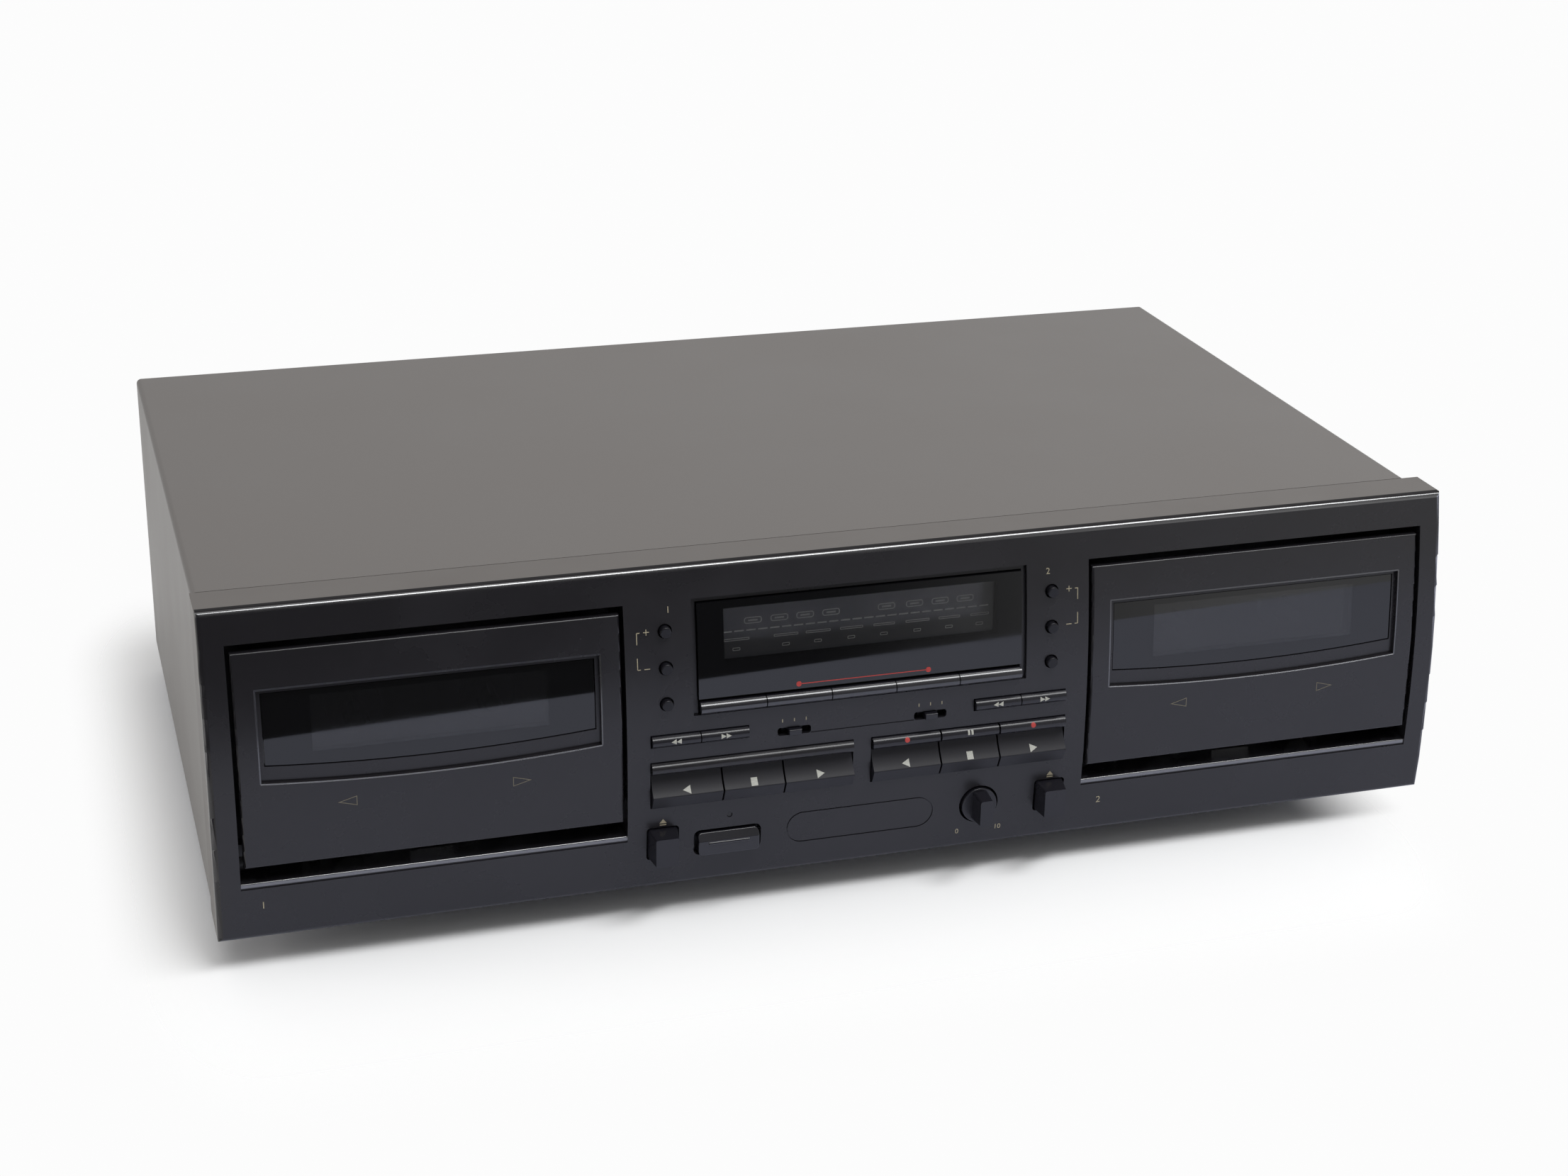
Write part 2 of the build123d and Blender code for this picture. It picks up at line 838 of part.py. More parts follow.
# Display board: the upright board with its tube, key switches, slide switches and level control
with BuildPart() as display_board:
    half_board = board_width / 2
    board_back = board_front + board_sheet
    block((-half_board, half_board), (board_front, board_back), (board_low, board_top))
    for side in sides:
        notch_inner = eject_place - eject_width / 2 - board_notch_gap
        notch_half = eject_key_height / 2 + board_notch_gap
        block(
            sorted((side * notch_inner, side * (half_board + cut_over))),
            (board_front - cut_over, board_back + cut_over),
            (eject_height - notch_half, eject_height + notch_half),
            mode=Mode.SUBTRACT,
        )
    block(
        (-tube_width / 2, tube_width / 2),
        (tube_front, board_front),
        (tube_middle - tube_height / 2, tube_middle + tube_height / 2),
    )
    switch_places = [(sum(span) / 2, sum(copy_heights) / 2) for name, span in copy_keys]
    switch_places += [(sum(span) / 2, sum(wind_heights) / 2) for name, span in wind_keys]
    switch_places += [(across, height) for name, across, height in buttons]
    for deck in trio_spans:
        switch_places += [(sum(span) / 2, sum(big_heights) / 2) for span in trio_spans[deck]]
    switch_places += [(sum(span) / 2, sum(record_heights) / 2) for span in trio_spans[2]]
    for across, height in switch_places:
        half = switch_size / 2
        block(
            (across - half, across + half),
            (board_front - switch_height, board_front),
            (height - half, height + half),
        )
        plunger_front = board_front - switch_height - switch_plunger
        rod(across, height, (plunger_front, board_front), plunger_radius)
    for side in sides:
        track_half = slot_width / 2
        body_half = track_half + slide_body_margin
        block(
            (side * slider_place - body_half, side * slider_place + body_half),
            (board_front - slide_body_depth, board_front),
            (slider_height - slide_body_height / 2, slider_height + slide_body_height / 2),
        )
        block(
            (side * slider_place - track_half, side * slider_place + track_half),
            (board_front - slide_track_front, board_front - slide_track_back),
            (slider_height - slide_track_height / 2, slider_height + slide_track_height / 2),
            mode=Mode.SUBTRACT,
        )
    rod(knob_place, knob_height, (pot_front, board_front), pot_radius)
    rod(
        knob_place,
        knob_height,
        (pot_front - cut_over, board_back + cut_over),
        knob_shaft + running_gap,
        mode=Mode.SUBTRACT,
    )
    block(
        (power_place - power_switch_width / 2, power_place + power_switch_width / 2),
        (board_front - power_switch_depth, board_front),
        (power_height - power_switch_height / 2, power_height + power_switch_height / 2),
    )
    rod(
        lamp_place,
        lamp_height,
        (face_depth(lamp_height) + fit_gap, board_front),
        lamp_radius,
    )
finish(display_board.part, "display_board")

# Copy keys: five narrow caps in one row under the display window
for name, span in copy_keys:
    with BuildPart() as copy_key:
        nose_cap(span, copy_heights, nose_reach)
        key_middle = (sum(span) / 2, sum(copy_heights) / 2)
        key_back(span, copy_heights, (flange_height, 0), key_middle, stem_end)
    finish(copy_key.part, name)

# Winding keys: a pair of narrow caps on each side
for name, span in wind_keys:
    with BuildPart() as wind_key:
        nose_cap(span, wind_heights, nose_reach)
        key_middle = (sum(span) / 2, sum(wind_heights) / 2)
        key_back(span, wind_heights, (flange_height, flange_height), key_middle, stem_end)
    finish(wind_key.part, name)

# Record, pause and mute keys above the second deck's transport keys
for name, span in zip(("record_key", "pause_key", "mute_key"), trio_spans[2]):
    with BuildPart() as record_key:
        nose_cap(span, record_heights, nose_reach)
        key_middle = (sum(span) / 2, sum(record_heights) / 2)
        key_back(span, record_heights, (0, flange_height), key_middle, stem_end)
    finish(record_key.part, name)

# Transport keys: large caps with a hollow slope, a nose for the finger and an undercut below
for deck in trio_spans:
    for use, span in zip(("reverse", "stop", "play"), trio_spans[deck]):
        with BuildPart() as big_key:
            nose_high = big_key_low + big_key_nose
            nose_front = face_depth(nose_high) - big_key_reach
            top_front = face_depth(big_key_top) + big_key_recess
            slope_middle = (nose_high + big_key_top) / 2
            slope_front = (nose_front + top_front) / 2 + big_key_hollow
            cap_back = flange_depth(big_heights) + flange_sheet
            with BuildSketch(lengthwise(span[0])) as outline:
                with BuildLine():
                    ThreePointArc(
                        (top_front, big_key_top),
                        (slope_front, slope_middle),
                        (nose_front, nose_high),
                    )
                    Polyline(
                        (nose_front, nose_high),
                        (nose_front + big_key_undercut, big_key_low),
                        (cap_back, big_key_low),
                        (cap_back, big_key_top),
                        (top_front, big_key_top),
                    )
                make_face()
            extrude(outline.sketch, amount=span[1] - span[0])
            fillet(big_key.edges().filter_by(Axis.X).sort_by(Axis.Y)[:2], radius=big_key_round)
            key_middle = (sum(span) / 2, sum(big_heights) / 2)
            key_back(span, big_heights, (flange_height, 0), key_middle, stem_end)
        finish(big_key.part, f"deck_{deck}_{use}_key")

# Round buttons
for name, across, height in buttons:
    with BuildPart() as button:
        cap_front = face_depth(height) - button_reach
        flange_radius = button_radius + button_flange
        flange_front = flange_depth((height - flange_radius, height + flange_radius))
        rod(across, height, (cap_front, flange_front + flange_sheet), button_radius)
        fillet(button.edges().sort_by(Axis.Y)[0], radius=button_round)
        rod(across, height, (flange_front, flange_front + flange_sheet), flange_radius)
        rod(across, height, (flange_front, stem_end), stem_size / 2)
    finish(button.part, name)

# Slide switch caps, each shown in its middle position
for use, side in (("noise_filter", -1), ("reverse_mode", 1)):
    with BuildPart() as slider:
        across = side * slider_place
        cap_half = slider_cap_width / 2
        cap_tall = slider_cap_height / 2
        shutter_half = shutter_height / 2
        shutter_reach = shutter_half + overlap
        shutter_front = flange_depth((slider_height - shutter_reach, slider_height + shutter_reach))
        block(
            (across - cap_half, across + cap_half),
            (face_depth(slider_height) - slider_reach, shutter_front + flange_sheet),
            (slider_height - cap_tall, slider_height + cap_tall),
        )
        fillet(slider.faces().sort_by(Axis.Y)[0].edges(), radius=slider_round)
        block(
            (across - cap_half - shutter_margin, across + cap_half + shutter_margin),
            (shutter_front, shutter_front + flange_sheet),
            (slider_height - shutter_half, slider_height + shutter_half),
        )
        pin_half = slide_track_height / 2 - slide_gap
        block(
            (across - slider_pin_width / 2, across + slider_pin_width / 2),
            (shutter_front, board_front - slide_track_back - fit_gap),
            (slider_height - pin_half, slider_height + pin_half),
        )
    finish(slider.part, f"{use}_switch")

# Power key: a cap with a sloped upper part and a raised rib
with BuildPart() as power_key:
    half_width = power_width / 2
    key_low = power_height - power_key_height / 2
    key_high = power_height + power_key_height / 2
    face = face_depth(power_height)
    key_front = face - power_reach
    power_flange = flange_depth((key_low - power_flange_space, key_high + power_flange_space))
    with BuildSketch(lengthwise(power_place - half_width)) as outline:
        with BuildLine():
            Polyline(
                (power_flange, key_low),
                (power_flange, key_high),
                (key_front + power_slope_depth, key_high),
                (key_front, key_high - power_slope_height),
                (key_front, key_low),
                (power_flange, key_low),
            )
        make_face()
    extrude(outline.sketch, amount=power_width)
    with BuildSketch(upright(power_flange)) as power_shape:
        with Locations((power_place, power_height)):
            RectangleRounded(power_width, power_key_height, power_corner)
    extrude(power_shape.sketch, amount=power_flange - key_front + cut_over, mode=Mode.INTERSECT)
    fillet(power_key.edges().filter_by(Axis.X).sort_by(Axis.Y)[:3], radius=power_round)
    axle(
        (power_place - power_rib_width / 2, power_place + power_rib_width / 2),
        key_front + power_rib_set,
        power_height + power_rib_rise,
        power_rib_radius,
    )
    block(
        (power_place - half_width - flange_margin, power_place + half_width + flange_margin),
        (power_flange, power_flange + flange_sheet),
        (key_low - flange_margin, key_high + flange_margin),
    )
    half_stem = power_stem_size / 2
    block(
        (power_place - half_stem, power_place + half_stem),
        (power_flange, board_front - power_switch_depth - power_travel - fit_gap),
        (power_height - half_stem, power_height + half_stem),
    )
finish(power_key.part, "power_key")

# Eject keys: tapered blocks that stand well out of the panel
for deck, side in ((1, -1), (2, 1)):
    with BuildPart() as eject_key:
        across = side * eject_place
        face = face_depth(eject_height)
        flange_low = eject_height - eject_key_height / 2 - flange_margin
        flange_high = eject_height + eject_key_height / 2 + flange_margin
        flange_front = flange_depth((flange_low, flange_high))
        with BuildSketch(upright(face)) as root:
            with Locations((across, eject_height)):
                RectangleRounded(eject_width, eject_key_height, eject_round)
        with BuildSketch(upright(face - eject_reach)) as tip:
            with Locations((across, eject_height - eject_tip_drop)):
                RectangleRounded(
                    eject_front_width, eject_key_height - eject_tip_taper, eject_tip_round
                )
        loft()
        with BuildSketch(upright(flange_front)) as body:
            with Locations((across, eject_height)):
                RectangleRounded(eject_width, eject_key_height, eject_round)
        extrude(body.sketch, amount=flange_front - face)
        block(
            (across - eject_width / 2 - flange_margin, across + eject_width / 2 + flange_margin),
            (flange_front, flange_front + flange_sheet),
            (flange_low, flange_high),
        )
        half_stem = eject_stem_size / 2
        block(
            (across - half_stem, across + half_stem),
            (flange_front, board_front + board_sheet + eject_stem_reach),
            (eject_height - half_stem, eject_height + half_stem),
        )
    finish(eject_key.part, f"deck_{deck}_eject_key")

# Level knob: a round skirt with a finger bar, on its shaft
with BuildPart() as level_knob:
    face = face_depth(knob_height)
    rod(knob_place, knob_height, (face - knob_skirt_reach, face + panel_wall), knob_radius)
    fillet(level_knob.edges().sort_by(Axis.Y)[0], radius=knob_skirt_round)
    with BuildSketch(upright(face - knob_skirt_reach + knob_bar_root)) as bar:
        with Locations((knob_place, knob_height)):
            RectangleRounded(*knob_bar_base, knob_bar_round)
    with BuildSketch(upright(face - knob_reach)) as bar_tip:
        with Locations((knob_place, knob_height)):
            RectangleRounded(*knob_bar_tip, knob_bar_round)
    loft()
    rod(knob_place, knob_height, (face, board_front - fit_gap), knob_shaft)
finish(level_knob.part, "level_knob")

# Doors: a curved cover with a sunk window, the pane behind it and the holder that takes the tape
for deck, centre in decks:
    with BuildPart() as door_cover:
        half_door = door_width / 2
        bowed_sheet(
            (centre - half_door, centre + half_door), (door_bottom, door_top), (0, door_wall)
        )
        fillet(door_cover.faces().sort_by(Axis.Y)[0].edges(), radius=door_round)
        add(window_sink.part.moved(Location((centre, 0, 0))), mode=Mode.SUBTRACT)
        pane_hole = window_shape(window_border, window_sill - window_border)
        moved_hole = pane_hole.moved(Location((centre, 0, 0)))
        extrude(moved_hole, amount=2 * panel_depth, mode=Mode.SUBTRACT)
        high_rib = door_top - door_rib_margin - door_rib_height
        for side in sides:
            for rib_low in (door_bottom + door_rib_margin, high_rib):
                rib_middle = centre + side * (half_door - door_rib_inset)
                bowed_block(
                    (rib_middle - door_rib_wall / 2, rib_middle + door_rib_wall / 2),
                    (rib_low, rib_low + door_rib_height),
                    door_wall / 2,
                    holder_front,
                )
    finish(door_cover.part, f"door_{deck}_cover")

    with BuildPart() as door_window:
        pane_low = window_low + window_sill
        half_pane = half_window - window_border
        bowed_sheet(
            (centre - half_pane, centre + half_pane),
            (pane_low - window_sag, window_top - window_border),
            (window_recess + fit_gap, door_wall + fit_gap),
        )
        pane_shape = window_shape(window_border + fit_gap, window_sill - window_border)
        moved_shape = pane_shape.moved(Location((centre, 0, 0)))
        extrude(moved_shape, amount=2 * panel_depth, mode=Mode.INTERSECT)
        bowed_sheet(
            (centre - half_pane - window_flange, centre + half_pane + window_flange),
            (
                pane_low - window_sag - window_low_flange,
                window_top - window_border + window_flange,
            ),
            (door_wall + fit_gap, door_wall + fit_gap + lens_wall),
        )
    finish(door_window.part, f"door_{deck}_window")

    with BuildPart() as holder:
        half_door = door_width / 2
        half_pocket = cassette_width / 2 + slide_gap
        channel = half_pocket + holder_wall
        holder_back = holder_front + holder_depth
        boss_outer = well_width / 2 - fit_gap
        block(
            (centre - half_door + holder_side, centre + half_door - holder_side),
            (holder_front, holder_front + holder_wall),
            (holder_low, holder_top),
        )
        frame_half = half_window - holder_frame_side
        block(
            (centre - frame_half, centre + frame_half),
            (holder_front - cut_over, holder_front + holder_wall + cut_over),
            (holder_low + holder_frame_low, holder_top - holder_frame_high),
            mode=Mode.SUBTRACT,
        )
        for side in sides:
            inner = centre + side * half_pocket
            outer = centre + side * channel
            block(
                sorted((inner, outer)),
                (holder_front, holder_back),
                (holder_low + holder_wall_low, holder_top - holder_wall_high),
            )
            block(
                sorted((outer, centre + side * (half_pocket - holder_lip))),
                (holder_back - holder_wall, holder_back),
                (cassette_bottom + holder_lip_low, hub_height + holder_lip_high),
            )
            block(
                sorted((outer, centre + side * (half_pocket - holder_shelf))),
                (holder_front, holder_back),
                (cassette_bottom - holder_shelf_wall, cassette_bottom),
            )
            boss_inner = boss_outer - hinge_boss_width
            boss_span = sorted((centre + side * boss_inner, centre + side * boss_outer))
            block(
                boss_span,
                (holder_front, hinge_depth + hinge_boss),
                (hinge_height, holder_low + hinge_boss_height),
            )
            axle(
                boss_span,
                hinge_depth,
                hinge_height,
                hinge_boss,
            )
            pin_end = boss_outer + fit_gap + well_rim - pin_end_gap
            axle(
                sorted((centre + side * (boss_outer - pin_root), centre + side * pin_end)),
                hinge_depth,
                hinge_height,
                hinge_radius,
            )
    finish(holder.part, f"door_{deck}_holder")

# Tape mechanisms: one moulded frame for each deck
frame_fronts = well_depth
plate_back = frame_fronts + frame_wall
bridge_front = frame_back - frame_wall
with BuildPart() as mechanism_frames:
    for deck, centre in decks:
        half_frame = frame_width / 2
        block(
            (centre - half_frame, centre + half_frame),
            (frame_fronts, frame_back),
            (frame_low, frame_top),
        )
        block(
            (centre - half_frame + frame_wall, centre + half_frame - frame_wall),
            (plate_back, frame_back + cut_over),
            (frame_low + frame_wall, frame_top - frame_wall),
            mode=Mode.SUBTRACT,
        )
        block(
            (centre - half_frame + frame_wall / 2, centre + half_frame - frame_wall / 2),
            (bridge_front, frame_back),
            (capstan_height - bridge_height / 2, capstan_height + bridge_height / 2),
        )
        motor_plate_left = centre + motor_place - motor_radius - motor_plate_side
        block(
            (motor_plate_left, centre + half_frame - frame_wall / 2),
            (bridge_front, frame_back),
            (motor_height - motor_radius - motor_plate_low, frame_top - frame_wall / 2),
        )
        for side in sides:
            leg = centre + side * frame_leg_place
            block(
                (leg - frame_leg / 2, leg + frame_leg / 2),
                (frame_fronts, frame_back),
                (tray_top, frame_low),
            )
            capstan = centre + side * capstan_place
            bearing_front = frame_fronts - front_bearing_reach
            rod(capstan, capstan_height, (bearing_front, plate_back), bearing_radius)
            rear_bearing = bridge_front - back_bearing_reach
            rod(capstan, capstan_height, (rear_bearing, frame_back), bearing_radius)
            rod(
                capstan,
                capstan_height,
                (bearing_front - cut_over, frame_back - capstan_end_wall),
                capstan_radius + running_gap,
                mode=Mode.SUBTRACT,
            )
            hub = centre + side * hub_place
            reel_bearing = reel_axle + reel_bearing_wall
            rod(hub, hub_height, (frame_fronts, plate_back + bearing_wall), reel_bearing)
            rod(
                hub,
                hub_height,
                (frame_fronts - cut_over, plate_back + bearing_wall + cut_over),
                reel_axle + running_gap,
                mode=Mode.SUBTRACT,
            )
            guide = centre + side * guide_place
            rod(guide, guide_height, (frame_fronts - guide_reach, plate_back), guide_radius)
        rod(
            centre + motor_place,
            motor_height,
            (bridge_front - cut_over, frame_back + cut_over),
            pulley_radius + pulley_gap,
            mode=Mode.SUBTRACT,
        )
finish(mechanism_frames.part, "mechanism_frames")

# Motors, screwed to the back of each frame
belt_front = flywheel_front + (flywheel_wall - belt_width) / 2
belt_back = belt_front + belt_width
with BuildPart() as motors:
    for deck, centre in decks:
        rod(
            centre + motor_place,
            motor_height,
            (frame_back, frame_back + motor_length),
            motor_radius,
        )
        rod(centre + motor_place, motor_height, (belt_front, frame_back), motor_shaft)
        rod(
            centre + motor_place,
            motor_height,
            (belt_front - pulley_rim, belt_back + pulley_rim),
            pulley_radius,
        )
finish(motors.part, "motors")


def belt_loop(reach_in, reach_out):
    """Points and arcs of a belt round the left wheel and the pulley and against the right wheel."""
    wheels = (
        ((-capstan_place, capstan_height), flywheel_radius + reach_in),
        ((motor_place, motor_height), pulley_radius + reach_in),
        ((capstan_place, capstan_height), -(flywheel_radius + reach_out)),
    )
    runs = []
    for index in range(3):
        start, start_radius = wheels[index]
        end, end_radius = wheels[(index + 1) % 3]
        span = sqrt((end[0] - start[0]) ** 2 + (end[1] - start[1]) ** 2)
        heading = atan2(end[1] - start[1], end[0] - start[0])
        normal = heading + acos((start_radius - end_radius) / span)
        leave = (start[0] + start_radius * cos(normal), start[1] + start_radius * sin(normal))
        meet = (end[0] + end_radius * cos(normal), end[1] + end_radius * sin(normal))
        runs.append((leave, meet, normal))
    for index in range(3):
        centre_point, radius = wheels[index]
        arrive_normal = runs[index - 1][2]
        leave_normal = runs[index][2]
        turn = (leave_normal - arrive_normal) % (2 * pi)
        if radius > 0:
            turn -= 2 * pi
        half_normal = arrive_normal + turn / 2
        half_point = (
            centre_point[0] + radius * cos(half_normal),
            centre_point[1] + radius * sin(half_normal),
        )
        ThreePointArc(runs[index - 1][1], half_point, runs[index][0])
        Line(runs[index][0], runs[index][1])


# Drive belts: each drives one capstan wheel from inside and the other, the opposite way, from outside
with BuildPart() as drive_belts:
    for deck, centre in decks:
        belt_plane = upright(belt_back)
        belt_plane.origin = belt_plane.origin + Vector(centre, 0, 0)
        with BuildSketch(belt_plane) as outer_loop:
            with BuildLine():
                belt_loop(fit_gap + belt_wall, fit_gap)
            make_face()
        with BuildSketch(belt_plane) as inner_loop:
            with BuildLine():
                belt_loop(fit_gap, fit_gap + belt_wall)
            make_face()
        extrude(outer_loop.sketch - inner_loop.sketch, amount=belt_width)
finish(drive_belts.part, "drive_belts")

# Reels: spindles that turn the tape hubs
for deck, centre in decks:
    for place, side in (("left", -1), ("right", 1)):
        with BuildPart() as reel:
            hub = centre + side * hub_place
            disc_back = frame_fronts - fit_gap
            rod(hub, hub_height, (disc_back - reel_disc_wall, disc_back), reel_disc)
            fillet(reel.edges().sort_by(Axis.Y)[0], radius=reel_disc_round)
            rod(hub, hub_height, (reel_tip, disc_back), reel_spindle)
            fillet(reel.edges().sort_by(Axis.Y)[0], radius=reel_tip_round)
            fin_back = disc_back - reel_fin_root
            for turn in (90, 210, 330):
                with BuildSketch(upright(fin_back)) as fin:
                    with Locations((hub, hub_height)):
                        with Locations(Location((0, 0, 0), (0, 0, turn))):
                            Rectangle(reel_fin, reel_fin_wall, align=(Align.MIN, Align.CENTER))
                extrude(fin.sketch, amount=fin_back - reel_tip - reel_fin_setback)
            gear_front = plate_back + bearing_wall + fit_gap
            rod(hub, hub_height, (disc_back, gear_front + reel_gear_wall), reel_axle)
            rod(hub, hub_height, (gear_front, gear_front + reel_gear_wall), reel_gear)
        finish(reel.part, f"deck_{deck}_{place}_reel")

# Capstans: thin shafts that pull the tape, each pressed into its flywheel
for deck, centre in decks:
    for place, side in (("left", -1), ("right", 1)):
        with BuildPart() as capstan_wheel:
            capstan = centre + side * capstan_place
            shaft_end = frame_back - capstan_end_wall - fit_gap
            rod(capstan, capstan_height, (capstan_tip, shaft_end), capstan_radius)
            rod(
                capstan,
                capstan_height,
                (flywheel_front, flywheel_front + flywheel_wall),
                flywheel_radius,
            )
            rod(
                capstan,
                capstan_height,
                (flywheel_front + flywheel_web, flywheel_front + flywheel_wall + cut_over),
                flywheel_radius - flywheel_rim,
                mode=Mode.SUBTRACT,
            )
            rod(
                capstan,
                capstan_height,
                (plate_back + fit_gap, flywheel_front + flywheel_wall),
                capstan_radius + flywheel_hub,
            )
            rod(capstan, capstan_height, (flywheel_front, shaft_end), capstan_radius)
        finish(capstan_wheel.part, f"deck_{deck}_{place}_capstan")

# Head plates: the sliding plates that carry the tape head and both pinch rollers
for deck, centre in decks:
    with BuildPart() as head_plate:
        plate_half = head_plate_width / 2
        plate_rear = frame_fronts - fit_gap
        plate_front = plate_rear - head_plate_sheet
        block(
            (centre - plate_half, centre + plate_half),
            (plate_front, plate_rear),
            (head_plate_low, head_plate_top),
        )
        for side in sides:
            capstan = centre + side * capstan_place
            guide = centre + side * guide_place
            notch = bearing_radius + head_notch_gap
            block(
                (capstan - notch, capstan + notch),
                (plate_front - cut_over, plate_rear + cut_over),
                (capstan_height - notch - head_travel, head_plate_top + cut_over),
                mode=Mode.SUBTRACT,
            )
            with BuildSketch(upright(plate_rear)) as guide_slot:
                with Locations((guide, guide_height - head_travel / 2)):
                    slot_wide = 2 * (guide_radius + slide_gap)
                    SlotOverall(slot_wide + head_travel, slot_wide, rotation=90)
            extrude(guide_slot.sketch, amount=head_plate_sheet, mode=Mode.SUBTRACT)
            roller_drop = capstan_radius + roller_radius + head_travel + roller_gap
            roller_height = capstan_height - roller_drop
            block(
                (capstan - roller_arm_width / 2, capstan + roller_arm_width / 2),
                (roller_front + roller_width, plate_rear),
                (roller_height - roller_arm_low, roller_height + roller_arm_high),
            )
            rod(
                capstan,
                roller_height,
                (roller_front, roller_front + roller_width + roller_root),
                roller_radius,
            )
            rod(
                capstan,
                roller_height,
                (roller_front - roller_pin_reach, roller_front + roller_pin_reach),
                roller_pin_radius,
            )
        block(
            (centre - head_width / 2, centre + head_width / 2),
            (head_front, plate_rear),
            (cassette_bottom - head_gap - head_height, cassette_bottom - head_gap),
        )
        head_half = head_width / 2 + overlap
        head_edges = head_plate.edges().filter_by(Axis.Y)
        head_edges = head_edges.filter_by_position(Axis.X, centre - head_half, centre + head_half)
        fillet(head_edges.group_by(Axis.Z)[-1], radius=head_round)
    finish(head_plate.part, f"deck_{deck}_head_plate")

# Screw places: rear lips, feet, main board and transformer
outer_screw = half_panel - top_screw_inset
top_screw_height = case_top - top_screw_drop
rear_screws = [(across, top_screw_height) for across in (-outer_screw, 0, outer_screw)]
for across in (case_left + side_screw_inset, case_right - side_screw_inset):
    rear_screws.append((across, side_screw_height))
low_screw_places = (low_screw_left, low_screw_middle, outer_screw)
low_rear_screws = [(across, low_screw_height) for across in low_screw_places]
board_screws = []
for across, back in zip(
    (main_board_left + board_screw_inset, main_board_right - board_screw_inset), board_screw_back
):
    board_screws.append((across, main_board_front + board_screw_inset))
    board_screws.append((across, main_board_back - back))
strap_half = strap_width / 2 - strap_screw_inset
strap_screws = [(transformer_place + side * strap_half, transformer_depth) for side in sides]
foot_places = [
    (side * foot_place, depth) for side in sides for depth in (foot_front, foot_rear)
]
screw_hole = screw_radius + screw_hole_gap

# Chassis: a steel tray with low flanges and bosses for the main board
with BuildPart() as chassis:
    block((-tray_right, tray_right), (panel_wall, case_front), (tray_low, tray_top))
    block((tray_left, tray_right), (case_front, rear_face), (tray_low, tray_top))
    for flange_left in (tray_left, tray_right - tray_sheet):
        block(
            (flange_left, flange_left + tray_sheet),
            (frame_back + tray_flange_gap, rear_face),
            (tray_low, tray_low + tray_flange),
        )
    block(
        (tray_left, tray_right),
        (rear_face - tray_sheet, rear_face),
        (tray_low, tray_low + tray_rear_flange),
    )
    lip_depth = panel_depth - tray_front_gap
    block(
        (-tray_right, tray_right),
        (lip_depth - tray_sheet, lip_depth),
        (tray_low, tray_low + front_lip),
    )
    for across, depth in board_screws:
        post(across, depth, (tray_top, main_board_height), boss_radius)
        post(across, depth, (tray_low, main_board_height), screw_hole, mode=Mode.SUBTRACT)
    for across, depth in strap_screws + foot_places:
        post(across, depth, (tray_low, tray_top), screw_hole, mode=Mode.SUBTRACT)
    for across, height in low_rear_screws:
        rod(across, height, (rear_face - tray_sheet, rear_face), screw_hole, mode=Mode.SUBTRACT)
finish(chassis.part, "chassis")

# Rear panel: a steel sheet with a folded top edge, socket holes and the hole for the cord gland
with BuildPart() as rear_panel:
    panel_low = tray_low
    panel_high = case_top - sheet
    block((tray_left, tray_right), (rear_face, case_rear), (panel_low, panel_high))
    block(
        (tray_left, tray_right),
        (rear_face - rear_lip, rear_face),
        (panel_high - sheet, panel_high),
    )
    for across in socket_columns:
        for height in socket_rows:
            rod(across, height, (rear_face, case_rear), socket_hole, mode=Mode.SUBTRACT)
    hole_half = gland_size / 2 + gland_gap
    block(
        (gland_place - hole_half, gland_place + hole_half),
        (rear_face, case_rear),
        (gland_height - hole_half, gland_height + hole_half),
        mode=Mode.SUBTRACT,
    )
    for across, height in rear_screws + low_rear_screws:
        rod(across, height, (rear_face, case_rear), screw_hole, mode=Mode.SUBTRACT)
finish(rear_panel.part, "rear_panel")

# Top cover: one folded sheet over the top, both sides and the edges of the rear panel
with BuildPart() as top_cover:
    lip_back = case_rear + sheet
    block((case_left, case_right), (case_front, lip_back), (case_bottom, case_top))
    fillet(
        top_cover.edges().filter_by(Axis.Y).group_by(Axis.Z)[-1],
        radius=sheet + bend_round,
    )
    block(
        (case_left + sheet, case_right - sheet),
        (case_front - cut_over, case_rear),
        (case_bottom - cut_over, case_top - sheet),
        mode=Mode.SUBTRACT,
    )
    block(
        (case_left + rear_lip, case_right - rear_lip),
        (case_rear - cut_over, lip_back + cut_over),
        (case_bottom - cut_over, case_top - rear_lip),
        mode=Mode.SUBTRACT,
    )
    for across, height in rear_screws:
        rod(across, height, (case_rear, lip_back), screw_hole, mode=Mode.SUBTRACT)
finish(top_cover.part, "top_cover")

